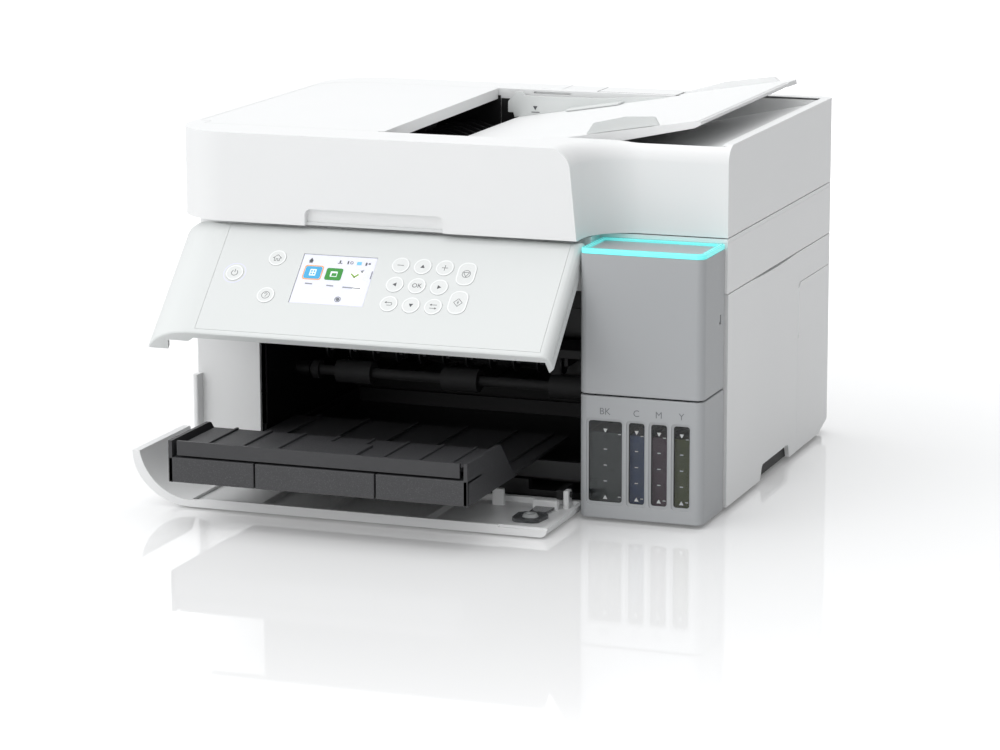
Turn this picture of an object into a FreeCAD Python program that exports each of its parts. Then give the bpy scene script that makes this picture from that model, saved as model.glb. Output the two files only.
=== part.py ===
"""Ink tank printer with flatbed scanner and document feeder, shown open.

Frame: X to the right, Y to the back, Z up, millimetres. The origin is on the table, midway along the
width and the depth of the open machine. In the lists below y is measured back from the front face of the
lid, and the cell front_y moves it into that frame. The control panel and the lower front cover are drawn
closed and then turned about their hinges; the document tray is drawn level and then sloped.
"""
import FreeCAD
import Part
import Sketcher
import os
import re
from FreeCAD import Placement, Rotation, Vector

SIZES = {
    # overall shell
    "front_y": -107.0, "side": 187.5, "rear": 305.0, "foot_top": 4.0, "case_bottom": 3.7, "case_top": 144.2,
    "wall": 3.0, "corner": 42.0, "rear_corner": 8.0, "left_rear_corner": 40.0, "split_x": 101.5,
    "recess_y": 46.0, "pillar_x": -141.0, "pillar_y": 44.0,
    # scanner and lid
    "scan_bottom": 145.0, "scan_top": 180.7, "lid_bottom": 181.5, "lid_top": 240.5, "scan_front": 24.0,
    "glass_x": 155.0, "glass_front": 58.0, "glass_rear": 280.0, "feeder_floor": 206.0,
    "lid_hinge_y": 298.0, "lid_hinge_z": 190.0, "scan_hinge_y": 299.0, "scan_hinge_z": 151.5,
    # feeder
    "feed_x": -51.0, "feed_front": 37.0, "feed_rear": 272.0, "bin_front": 48.0, "bin_rear": 293.0,
    "bin_right": 181.0, "tray_hinge_x": -34.0, "tray_hinge_z": 218.6, "tray_slope": 9.4,
    "tray_length": 201.0, "tray_front": 59.0, "tray_rear": 270.0, "tray_thick": 5.5,
    # control panel
    "panel_hinge_y": 7.0, "panel_hinge_z": 172.15, "panel_tilt": 45.5, "panel_bottom": 87.0,
    "panel_top": 179.15, "panel_right": 101.8, "face_left": -142.0, "face_right": 95.0, "key_radius": 6.0,
    "key_gap": 0.35, "key_pitch": 15.25, "pad_x": -14.8, "pad_z": 150.0,
    # lower front cover
    "cover_hinge_y": 11.4, "cover_hinge_z": 12.6, "cover_top": 83.0, "cover_rim": 6.0, "cover_right": 100.5,
    # ink tank unit
    "tank_left": 102.8, "tank_right": 186.0, "tank_front": -3.0, "tank_rear": 44.0, "tank_bottom": 2.5,
    "tank_seam": 82.8, "tank_top": 178.0, "window_low": 13.2, "window_high": 66.5, "tank_wall": 2.5,
    # paper path
    "bay_right": 101.6, "bay_rear": 215.0, "cassette_low": 17.2, "cassette_high": 28.8, "out_low": 29.4,
    "out_high": 45.6, "out_wall": 56.5, "out_front": -106.0, "out_left": -139.0, "out_right": 65.0,
    "roller_x0": -134.0, "roller_x1": 96.0, "shaft_y": 182.0, "shaft_z": 100.0,
}
WINDOWS = {"black": (109.3, 131.7), "cyan": (136.3, 146.8), "magenta": (151.3, 161.9), "yellow": (166.4, 177.0)}

doc = FreeCAD.newDocument("ink_tank_printer")
sheet = doc.addObject("Spreadsheet::Sheet", "Dims")
for row, (alias, value) in enumerate(SIZES.items(), start=1):
    sheet.set(f"A{row}", alias)
    sheet.set(f"B{row}", str(value))
    sheet.setAlias(f"B{row}", alias)
doc.recompute()
NODES = {}


def bound(text):
    """The text of a size with each alias written as a reference to the sheet."""
    return re.sub(r"[A-Za-z_]\w*", lambda m: "Dims." + m.group(0), str(text))


def number(text):
    """The value of a size: numbers and aliases joined by plus and minus signs."""
    total = 0.0
    for sign, term in re.findall(r"([+-]?)\s*([A-Za-z_]\w*|\d+\.?\d*)", text):
        size = SIZES[term] if term in SIZES else float(term)
        total += -size if sign == "-" else size
    return total


def back(text):
    """A depth measured from the lid's front face, in the row's own frame."""
    return f"{text} + front_y"


def bind(item, prop, text):
    """Tie one property of an object to the sheet."""
    item.setExpression(prop, bound(text))


def place(item, x, y, z):
    """Tie the corner of a primitive to the sheet."""
    for axis, text in (("x", x), ("y", back(y)), ("z", z)):
        bind(item, f"Placement.Base.{axis}", text)


def box(label, x, y, z):
    """A block between two limits on each axis, each limit a size in words."""
    item = doc.addObject("Part::Box", label)
    for prop, (low, high) in (("Length", x), ("Width", y), ("Height", z)):
        bind(item, prop, f"({high}) - ({low})")
    place(item, x[0], y[0], z[0])
    return item


def rod(label, axis, centre, radius, span):
    """A round bar along X, Y or Z: its centre line's two other coordinates, its radius and its ends."""
    item = doc.addObject("Part::Cylinder", label)
    bind(item, "Radius", radius)
    bind(item, "Height", f"({span[1]}) - ({span[0]})")
    turn = {"x": Rotation(Vector(0, 1, 0), 90), "y": Rotation(Vector(1, 0, 0), -90), "z": Rotation()}[axis]
    item.Placement = Placement(Vector(), turn)
    corner = {"x": (span[0], *centre), "y": (centre[0], span[0], centre[1]), "z": (*centre, span[0])}[axis]
    place(item, *corner)
    return item


def fuse(label, *parts):
    """One piece made of several that touch."""
    item = doc.addObject("Part::MultiFuse", label)
    item.Shapes = list(parts)
    item.Refine = True
    return item


def group(label, *parts):
    """Several separate solids of one kind in one node."""
    item = doc.addObject("Part::Compound", label)
    item.Links = list(parts)
    return item


def cut(label, base, *tools):
    """The base with every tool taken out of it."""
    tool = tools[0] if len(tools) == 1 else fuse(label + "_tools", *tools)
    item = doc.addObject("Part::Cut", label)
    item.Base = base
    item.Tool = tool
    return item


PLANES = {"XY": ("XY_Plane", 1, lambda a, b, c: (a, b, c)),
          "XZ": ("XZ_Plane", -1, lambda a, b, c: (a, c, b)),
          "YZ": ("YZ_Plane", 1, lambda a, b, c: (c, a, b))}


def prism(label, plane, outline, span, rounds=()):
    """A body padded from a closed outline on one plane, with some of its long edges rounded.

    outline lists (first, second) in the plane's own axes; span gives the ends along the third; rounds
    lists (index of the outline's point, radius).
    """
    role, sense, to_xyz = PLANES[plane]
    depth_first = plane == "YZ"
    points = [(back(a), b) if depth_first else (a, back(b)) if plane == "XY" else (a, b) for a, b in outline]
    ends = tuple(back(e) for e in span) if plane == "XZ" else span
    body = doc.addObject("PartDesign::Body", label)
    sketch = body.newObject("Sketcher::SketchObject", label + "_sketch")
    sketch.AttachmentSupport = [(next(f for f in body.Origin.OriginFeatures if f.Role == role), "")]
    sketch.MapMode = "FlatFace"
    bind(sketch, "AttachmentOffset.Base.z", ends[0] if sense > 0 else f"-({ends[1]})")
    values = [Vector(number(a), number(b), 0) for a, b in points]
    count = len(values)
    for index in range(count):
        sketch.addGeometry(Part.LineSegment(values[index], values[(index + 1) % count]), False)
    for index in range(count):
        sketch.addConstraint(Sketcher.Constraint("Coincident", index, 2, (index + 1) % count, 1))
    for index, (a, b) in enumerate(points):
        for kind, text, size in (("DistanceX", a, values[index].x), ("DistanceY", b, values[index].y)):
            sketch.addConstraint(Sketcher.Constraint(kind, -1, 1, index, 1, size))
            bind(sketch, f"Constraints[{sketch.ConstraintCount - 1}]", text)
    pad = body.newObject("PartDesign::Pad", label + "_pad")
    pad.Profile = sketch
    bind(pad, "Length", f"({ends[1]}) - ({ends[0]})")
    body.Tip = pad
    doc.recompute()
    middle = (number(ends[0]) + number(ends[1])) / 2
    for index, radius in rounds:
        spot = Part.Vertex(Vector(*to_xyz(values[index].x, values[index].y, middle)))
        last = body.Tip
        edges = last.Shape.Edges
        near = min(range(len(edges)), key=lambda i: edges[i].distToShape(spot)[0])
        fillet = body.newObject("PartDesign::Fillet", f"{label}_round_{index}")
        fillet.Base = (last, [f"Edge{near + 1}"])
        bind(fillet, "Radius", radius)
        body.Tip = fillet
        doc.recompute()
    return body


def turned(item, axis, angle, hinge):
    """Turn a piece about a hinge line that runs along an axis, through a point given in words."""
    centre = Vector(number(hinge[0]), number(back(hinge[1])), number(hinge[2]))
    holder = group(item.Label + "_turned", item)
    holder.Placement = Placement(Vector(), Rotation(axis, angle), centre)
    return holder


def node(name, item):
    """Keep a finished piece under the name of its file."""
    item.Label = name
    NODES[name] = item
    return item


# ---------------------------------------------------------------- casing and frame
def casing():
    """Outer walls, base pan, feet and the black paper bay."""
    left = prism("left_wall", "XY", [("-side", "pillar_y"), ("pillar_x", "pillar_y"),
                 ("pillar_x", "pillar_y + wall"), ("-side + wall", "pillar_y + wall"),
                 ("-side + wall", "rear - wall"), ("-side + 44", "rear - wall"), ("-side + 44", "rear"),
                 ("-side", "rear")], ("case_bottom", "case_top"),
                 [(7, "left_rear_corner"), (4, "left_rear_corner - wall"), (0, "2")])
    step = box("pillar_step", ("-side", "-side + 4"), ("36", "pillar_y + 1"), ("case_bottom", "68"))
    node("left_casing", fuse("left_casing", left, step))

    side = prism("right_wall", "YZ", [("recess_y", "case_bottom"), ("126", "case_bottom"), ("132", "13.5"),
                 ("194", "13.5"), ("198", "case_bottom"), ("216", "case_bottom"), ("216", "123"),
                 ("rear - wall", "123"), ("rear - wall", "case_top"), ("recess_y", "case_top")],
                 ("side - wall", "side"), [(2, "5")])
    front = box("right_return", ("tank_left + 0.4", "side"), ("recess_y", "recess_y + wall"),
                ("case_bottom", "case_top"))
    back_edge = prism("right_back_edge", "XY", [("side - wall", "rear - 12"), ("side", "rear - 12"),
                      ("side", "rear"), ("side - 11", "rear"), ("side - 11", "rear - wall"),
                      ("side - wall", "rear - wall")], ("123", "case_top"), [(2, "rear_corner"),
                      (5, "rear_corner - wall")])
    trim = box("right_trim", ("side - wall - 1", "side + 1"), ("rear - 12", "rear + 1"), ("122", "case_top + 1"))
    node("right_casing", fuse("right_casing", cut("right_wall_trimmed", side, trim), front, back_edge))

    wrap = prism("cover_wrap", "XY", [("side - wall", "216.8"), ("side", "216.8"), ("side", "rear"),
                 ("side - 11", "rear"), ("side - 11", "rear - wall"), ("side - wall", "rear - wall")],
                 ("case_bottom", "122.2"), [(2, "rear_corner"), (5, "rear_corner - wall")])
    grip = box("cover_grip", ("side - 1.6", "side + 1"), ("216", "221"), ("84", "123"))
    heel = prism("cover_heel", "YZ", [("271", "case_bottom - 1"), ("rear + 1", "case_bottom - 1"),
                 ("rear + 1", "12")], ("side - 14", "side + 1"))
    node("rear_side_cover", cut("rear_side_cover", wrap, grip, heel))

    panel = box("rear_panel", ("-side + 44.4", "side - 11.4"), ("rear - wall", "rear"), ("case_bottom", "case_top"))
    hatch = box("hatch", ("-120", "120"), ("rear - wall - 1", "rear + 1"), ("40", "120"))
    socket = box("socket_hole", ("-140", "-118"), ("rear - wall - 1", "rear + 1"), ("14", "28"))
    port = box("port_hole", ("148", "161"), ("rear - wall - 1", "rear + 1"), ("60", "72"))
    node("rear_casing", cut("rear_casing", panel, hatch, socket, port))

    def plate(name, inset, low, high):
        return prism(name, "XY", [(f"-side + {inset}", f"50 + {inset} - 3.3"), (f"side - {inset}", f"50 + {inset} - 3.3"),
                     (f"side - {inset}", f"rear - {inset}"), (f"-side + {inset}", f"rear - {inset}")], (low, high),
                     [(2, f"rear_corner - {inset}"), (3, f"left_rear_corner - {inset}")])

    tub = plate("pan_outer", 3.3, "foot_top", "34")
    hollow = plate("pan_inner", 5.5, "foot_top + 2", "35")
    inlet_way = box("pan_inlet_way", ("-140", "-118"), ("rear - 7", "rear"), ("14", "28"))
    sill = box("sill", ("pillar_x + 0.3", "bay_right - 0.2"), ("27", "51"), ("foot_top", "10"))
    block = box("sill_block", ("35", "58"), ("27", "34"), ("9", "16.6"))
    arms = [box(f"cover_arm_{i}", (f"{x}", f"{x + 4}"), ("cover_hinge_y - 3", "30"),
                ("cover_hinge_z - 3", "cover_hinge_z + 3")) for i, x in enumerate((-133, 84))]
    pins = [rod(f"cover_pin_{i}", "x", ("cover_hinge_y", "cover_hinge_z"), "2", (f"{x}", f"{x + 10}"))
            for i, x in enumerate((-133, 84))]
    # The arms meet the sill from above, so the swinging cover clears it.
    open_front = box("pan_front_gap", ("pillar_x + 1.5", "bay_right - 1.4"), ("48", "53"), ("10", "35"))
    node("base_pan", fuse("base_pan", cut("pan_shell", tub, hollow, open_front, inlet_way), sill, block, *arms, *pins))

    feet = [rod(f"foot_{i}", "z", (x, y), "9", ("0", "foot_top"))
            for i, (x, y) in enumerate((x, y) for x in ("-165", "165") for y in ("66", "285"))]
    node("rubber_feet", group("rubber_feet", *feet))

    outer = box("bay_outer", ("pillar_x", "bay_right"), ("53.4", "bay_rear"), ("10.4", "140"))
    inner = box("bay_inner", ("pillar_x + 1", "bay_right - 1"), ("52", "bay_rear - 1.5"), ("12", "141"))
    ledges = [box(f"bay_ledge_{i}", (f"{x}", f"{x + 6}"), ("60", "205"), ("11.5", "cassette_low - 0.2"))
              for i, x in enumerate((-132, 86))]
    bushes = [rod(f"bay_bush_{i}", "x", (y, "62"), "5.4", span) for i, (y, span) in enumerate(
              (y, span) for y in ("shaft_y", "108") for span in
              (("pillar_x + 0.5", "roller_x0 + 4"), ("roller_x1 - 2", "bay_right - 0.5")))]
    bores = [rod(f"bay_bore_{i}", "x", (y, "62"), "3.55", ("roller_x0 - 0.3", "roller_x1 + 0.3"))
             for i, y in enumerate(("shaft_y", "108"))]
    node("paper_bay", cut("paper_bay", fuse("bay_with_bushes", cut("bay_shell", outer, inner), *ledges, *bushes),
                          *bores))

    deck = plate("deck_plate", 3.3, "140.6", "case_top - 0.2")
    window = box("deck_window", ("-134", "95"), ("62", "250"), ("140", "145"))
    lugs = [box(f"deck_lug_{i}", (f"{x}", f"{x + 8}"), ("scan_hinge_y - 3", "scan_hinge_y + 2.6"),
                ("143", "scan_hinge_z + 3.2")) for i, x in enumerate((-150, 142))]
    pegs = [rod(f"deck_pin_{i}", "x", ("scan_hinge_y", "scan_hinge_z"), "2", (f"{x}", f"{x + 16}"))
            for i, x in enumerate((-150, 134))]
    node("top_deck", fuse("top_deck", cut("deck_frame", deck, window), *lugs, *pegs))


def electrics():
    """Power supply and its inlet at the rear left."""
    node("power_supply", box("power_supply", ("-178", "-144"), ("150", "282"), ("foot_top + 2", "70")))
    shell = box("inlet_shell", ("-139.8", "-118.2"), ("284", "rear + 1"), ("14.2", "27.8"))
    mouth = box("inlet_mouth", ("-137", "-121"), ("rear - 9", "rear + 2"), ("17", "25"))
    prongs = [rod(f"prong_{i}", "y", (x, "21"), "1.2", ("rear - 10", "rear - 1"))
              for i, x in enumerate(("-133.5", "-124.5"))]
    node("mains_inlet", fuse("mains_inlet", cut("inlet_body", shell, mouth), *prongs))


def paper_path():
    """Platen, rollers, carriage rod, carriage, cassette and output tray."""
    slab = box("platen_slab", ("pillar_x + 1", "bay_right - 1"), ("122", "171"), ("55", "59"))
    ribs = [box(f"platen_rib_{i}", (f"{x}", f"{x + 2}"), ("124", "169"), ("58.5", "60.5"))
            for i, x in enumerate(range(-126, 96, 20))]
    node("platen", fuse("platen", slab, *ribs))

    for name, y, radius in (("feed_roller", "shaft_y", "10"), ("eject_roller", "108", "8")):
        shaft = rod(name + "_shaft", "x", (y, "62"), "3.5", ("roller_x0", "roller_x1"))
        sleeves = [rod(f"{name}_sleeve_{i}", "x", (y, "62"), radius, (f"{x}", f"{x + 26}"))
                   for i, x in enumerate((-110, -32, 46))]
        wheel = rod(name + "_pulley", "x", (y, "62"), "6.5", ("roller_x0 + 6", "roller_x0 + 11"))
        node(name, fuse(name, shaft, wheel, *sleeves))

    node("carriage_rod", rod("carriage_rod", "x", ("shaft_y", "shaft_z"), "4", ("pillar_x + 1", "bay_right - 1")))
    block = box("carriage_block", ("42", "92"), ("118", "172"), ("67", "120"))
    lug = box("carriage_lug", ("46", "88"), ("171", "190"), ("90", "112"))
    bore = rod("carriage_bore", "x", ("shaft_y", "shaft_z"), "4.06", ("40", "94"))
    pocket = box("carriage_pocket", ("45", "89"), ("121", "169"), ("74", "121"))
    chute = box("print_head", ("50", "84"), ("132", "162"), ("64", "67.5"))
    node("print_carriage", cut("print_carriage", fuse("carriage_solid", block, lug, chute), bore, pocket))

    hull = prism("cassette_hull", "XY", [("-137", "32"), ("97", "32"), ("97", "208"), ("-137", "208")],
                 ("cassette_low", "cassette_high"), [(0, "6"), (1, "6")])
    well = box("cassette_well", ("-134.5", "94.5"), ("36", "205.5"), ("cassette_low + 1.8", "cassette_high + 1"))
    grip = box("cassette_grip", ("-60", "20"), ("31", "34.5"), ("cassette_low + 3", "cassette_high - 2"))
    node("paper_cassette", cut("paper_cassette", hull, well, grip))
    foot = box("guide_foot", ("-128", "-104"), ("100", "140"), ("cassette_low + 2.1", "cassette_low + 3.6"))
    fence = box("guide_fence", ("-129.5", "-127.5"), ("80", "160"), ("cassette_low + 2.1", "cassette_high - 0.6"))
    node("cassette_guide", fuse("cassette_guide", foot, fence))

    cheek_line = [("out_front", "out_low"), ("-14", "out_low"), ("-21", "out_low + 2.4"),
                  ("out_front + 60", "out_wall"), ("out_front", "out_wall")]
    cheeks = [prism(f"cheek_{i}", "YZ", cheek_line, span) for i, span in
              enumerate((("out_left", "out_left + 2.5"), ("out_right - 2.5", "out_right")))]
    floor = box("out_floor", ("out_left", "out_right"), ("out_front", "95"), ("out_low", "out_low + 2"))
    lip_left = box("out_lip_left", ("out_left", "-80.2"), ("out_front", "out_front + 2.5"), ("out_low", "out_high"))
    lip_right = box("out_lip_right", ("3.8", "out_right"), ("out_front", "out_front + 2.5"), ("out_low", "out_high"))
    shelf_left = box("shelf_left", ("out_left", "-80.2"), ("out_front", "out_front + 26"), ("out_high - 2", "out_high"))
    shelf_right = box("shelf_right", ("3.8", "out_right"), ("out_front", "out_front + 26"), ("out_high - 2", "out_high"))
    bay = box("extension_way", ("-79.6", "3.2"), ("out_front - 1", "out_front + 3"), ("out_low - 1", "out_high + 1"))
    board = prism("out_board", "YZ", [("out_front + 1", "47"), ("out_front + 3.5", "47"), ("out_front + 3.5", "50.5"),
                  ("out_front + 58", "50.5"), ("out_front + 81", "out_low + 1"), ("out_front + 85", "out_low + 1"),
                  ("out_front + 60", "53"), ("out_front + 3.5", "53"), ("out_front + 3.5", "56"),
                  ("out_front + 1", "56")], ("out_left + 2", "out_right - 2"))
    node("output_tray", cut("output_tray", fuse("out_solid", floor, lip_left, lip_right, shelf_left, shelf_right,
                                                board, *cheeks), bay))
    face = box("extension_face", ("-79.2", "2.8"), ("out_front", "out_front + 2.5"), ("out_low + 0.2", "out_high"))
    runner = box("extension_runner", ("-70", "-6"), ("out_front + 2", "out_front + 74"),
                 ("out_low + 2.4", "out_low + 4.4"))
    stop = box("extension_top", ("-79.2", "2.8"), ("out_front", "out_front + 26"), ("out_high - 2", "out_high"))
    node("tray_extension", fuse("tray_extension", face, runner, stop))


def rear_hatch():
    """The jam cover that pulls off the back."""
    outer = box("hatch_outer", ("-119.4", "119.4"), ("rear - 2.6", "rear + 15"), ("40.6", "119.4"))
    inner = box("hatch_inner", ("-116.4", "116.4"), ("rear - 4", "rear + 12.5"), ("43.6", "116.4"))
    node("rear_jam_cover", cut("rear_jam_cover", outer, inner))


# ---------------------------------------------------------------- ink tank unit
def tank_unit():
    """Grey housing with four windows, the tanks and inks behind them, their caps and the cover."""
    def shell(name, x0, x1, y0, y1, low, high, radius):
        return prism(name, "XY", [(x0, y0), (x1, y0), (x1, y1), (x0, y1)], (low, high),
                     [(0, radius), (1, radius)])

    outer = shell("housing_outer", "tank_left", "tank_right", "tank_front", "tank_rear", "tank_bottom",
                  "tank_seam", "5")
    inner = shell("housing_inner", "tank_left + tank_wall", "tank_right - tank_wall", "tank_front + tank_wall",
                  "tank_rear - tank_wall", "tank_bottom + tank_wall", "tank_seam + 1", "2.5")
    slots = [prism(f"window_slot_{ink}", "XZ", [(f"{a}", "window_low"), (f"{b}", "window_low"),
             (f"{b}", "window_high"), (f"{a}", "window_high")], ("tank_front - 1", "tank_front + 4"),
             [(i, "1.6") for i in range(4)]) for ink, (a, b) in WINDOWS.items()]
    node("tank_housing", cut("tank_housing", outer, inner, *slots))
    panes = [prism(f"pane_{ink}", "XZ", [(f"{a + 0.1}", "window_low + 0.1"), (f"{b - 0.1}", "window_low + 0.1"),
             (f"{b - 0.1}", "window_high - 0.1"), (f"{a + 0.1}", "window_high - 0.1")],
             ("tank_front + 1.2", "tank_front + 2.2"), [(i, "1.6") for i in range(4)])
             for ink, (a, b) in WINDOWS.items()]
    node("tank_windows", group("tank_windows", *panes))

    tanks, inks = [], []
    for ink, (a, b) in WINDOWS.items():
        low, high = a - 1.3, b + 1.3
        body = box(f"tank_body_{ink}", (f"{low}", f"{high}"), ("tank_front + 3", "tank_rear - 4"), ("tank_bottom + 2.5", "80"))
        space = box(f"tank_space_{ink}", (f"{low + 1}", f"{high - 1}"), ("tank_front + 4", "tank_rear - 5"),
                    ("6", "79"))
        neck = rod(f"neck_{ink}", "z", (f"{(a + b) / 2}", "20"), "5", ("79.5", "98"))
        throat = rod(f"throat_{ink}", "z", (f"{(a + b) / 2}", "20"), "3.6", ("78", "99"))
        tanks.append(cut(f"tank_{ink}", fuse(f"tank_solid_{ink}", body, neck), space, throat))
        inks.append(box(f"ink_{ink}", (f"{low + 1.05}", f"{high - 1.05}"), ("tank_front + 4.05", "tank_rear - 5.05"),
                        ("6.05", "window_high - 4")))
        rim = rod(f"cap_rim_{ink}", "z", (f"{(a + b) / 2}", "20"), "6.2", ("98.1", "104"))
        plug = rod(f"cap_plug_{ink}", "z", (f"{(a + b) / 2}", "20"), "3.3", ("92", "99"))
        tab = box(f"cap_tab_{ink}", (f"{(a + b) / 2 - 2.5}", f"{(a + b) / 2 + 2.5}"), ("8", "20"), ("101", "104"))
        node(f"tank_cap_{ink}", fuse(f"tank_cap_{ink}", rim, plug, tab))
    node("ink_tanks", group("ink_tanks", *tanks))
    node("inks", group("inks", *inks))

    lid = shell("hood_outer", "tank_left", "tank_right", "tank_front", "tank_rear - 1", "tank_seam + 1",
                "tank_top - 1.4", "5")
    void = shell("hood_inner", "tank_left + tank_wall", "tank_right - tank_wall", "tank_front + tank_wall",
                 "tank_rear - 1 - tank_wall", "tank_seam", "tank_top - 4", "2.5")
    seat = shell("ring_seat", "tank_left - 1", "tank_right + 1", "tank_front - 1", "tank_rear + 1",
                 "tank_top - 3.4", "tank_top + 1", "6")
    keep = shell("ring_plate", "tank_left + 3.4", "tank_right - 3.4", "tank_front + 3.4", "tank_rear - 4.4",
                 "tank_top - 4.4", "tank_top + 2", "2")
    slot = box("hood_slot", ("tank_right - 1", "tank_right + 1"), ("32.4", "34.8"), ("127", "133.6"))
    doorway = box("hood_doorway", ("tank_left + tank_wall", "tank_right - tank_wall"), ("tank_rear - 4.5", "tank_rear + 1"),
                  ("tank_seam", "108"))
    node("tank_cover", cut("tank_cover", lid, void, cut("ring_groove", seat, keep), slot, doorway))
    band = shell("ring_outer", "tank_left", "tank_right", "tank_front", "tank_rear - 1", "tank_top - 3.4",
                 "tank_top", "5")
    gap = shell("ring_inner", "tank_left + 3.4", "tank_right - 3.4", "tank_front + 3.4", "tank_rear - 4.4",
                "tank_top - 4", "tank_top + 1", "2")
    node("light_ring", cut("light_ring", band, gap))


# ---------------------------------------------------------------- scanner and lid
def top_outline(front, inset):
    """Plan of the lid, or of the scanner below it, drawn inwards by inset."""
    return [(f"-side + {inset}", f"{front} + {inset}"), (f"split_x - {inset}", f"{front} + {inset}"),
            (f"split_x - {inset}", f"recess_y - 3 + {inset}"), (f"side - {inset}", f"recess_y - 3 + {inset}"),
            (f"side - {inset}", f"rear - {inset}"), (f"-side + {inset}", f"rear - {inset}")]


def scanner():
    """Scanner tub with the panel's hinge arms, its top frame, the glass and the scan bar."""
    def slab(name, inset, low, high, front="scan_front"):
        return prism(name, "XY", top_outline(front, inset), (low, high),
                     [(0, f"corner - 4 - {inset}"), (4, f"rear_corner - {inset}"),
                      (5, f"left_rear_corner - {inset}")])

    outer = slab("tub_outer", 0, "scan_bottom", "scan_top - 2.7")
    inner = slab("tub_inner", 3, "scan_bottom + 2.5", "scan_top")
    arms = [box(f"panel_arm_{i}", (f"{x}", f"{x + 4}"), ("panel_hinge_y - 2.4", "scan_front + 1"),
                ("panel_hinge_z - 2.4", "panel_hinge_z + 2.4")) for i, x in enumerate((-124, 70))]
    pins = [rod(f"panel_pin_{i}", "x", ("panel_hinge_y", "panel_hinge_z"), "2", (f"{x}", f"{x + 9}"))
            for i, x in enumerate((-124, 70))]
    bites = [box(f"tub_bite_{i}", (f"{x - 6.5}", f"{x + 6.5}"), ("scan_hinge_y - 8", "rear + 1"),
                 ("scan_bottom - 1", "scan_hinge_z + 7")) for i, x in enumerate((-146, 146))]
    tongues = [box(f"tub_tongue_{i}", (f"{x}", f"{x + 5}"), ("scan_hinge_y - 5", "rear - 2"),
                   ("scan_bottom + 1", "scan_hinge_z + 5")) for i, x in enumerate((-138.5, 133.5))]
    bores = [rod(f"tub_bore_{i}", "x", ("scan_hinge_y", "scan_hinge_z"), "2.05", (f"{x - 1}", f"{x + 6}"))
             for i, x in enumerate((-138.5, 133.5))]
    heel = cut("tub_heel", box("tub_heel_block", ("-side - 1", "side + 1"), ("scan_hinge_y", "rear + 1"),
                               ("scan_bottom - 1", "scan_hinge_z")),
               rod("tub_heel_round", "x", ("scan_hinge_y", "scan_hinge_z"), "rear - scan_hinge_y", ("-side - 2", "side + 2")))
    tub = cut("tub_shell", outer, inner, *bites, heel)
    rail = rod("scan_rail", "x", ("170", "163"), "3", ("-side + 2.5", "side - 2.5"))
    node("scanner_base", cut("scanner_base", fuse("tub_with_arms", tub, rail, *arms, *pins, *tongues), *bores))

    frame = slab("frame_slab", 0, "scan_top - 2.7", "scan_top")
    hole = box("glass_hole", ("-glass_x", "glass_x"), ("glass_front", "glass_rear"), ("scan_top - 4", "scan_top + 1"))
    posts = [box(f"lid_post_{i}", (f"{x}", f"{x + 6}"), ("lid_hinge_y - 3", "lid_hinge_y + 3"),
                 ("scan_top - 1", "lid_hinge_z + 3")) for i, x in enumerate((-130, 124))]
    pegs = [rod(f"lid_pin_{i}", "x", ("lid_hinge_y", "lid_hinge_z"), "2", (f"{x}", f"{x + 14}"))
            for i, x in enumerate((-130, 116))]
    node("scanner_top", fuse("scanner_top", cut("frame_plate", frame, hole), *posts, *pegs))
    node("scan_glass", box("scan_glass", ("-glass_x + 0.1", "glass_x - 0.1"), ("glass_front + 0.1", "glass_rear - 0.1"),
                           ("scan_top - 2.7", "scan_top - 0.1")))
    beam = box("bar_beam", ("-150", "-128"), ("62", "276"), ("160", "176.6"))
    hollow = box("bar_slot", ("-142", "-136"), ("66", "272"), ("172", "177"))
    rail_bore = rod("bar_bore", "x", ("170", "163"), "3.05", ("-151", "-127"))
    node("scan_bar", cut("scan_bar", beam, hollow, rail_bore))


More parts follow.
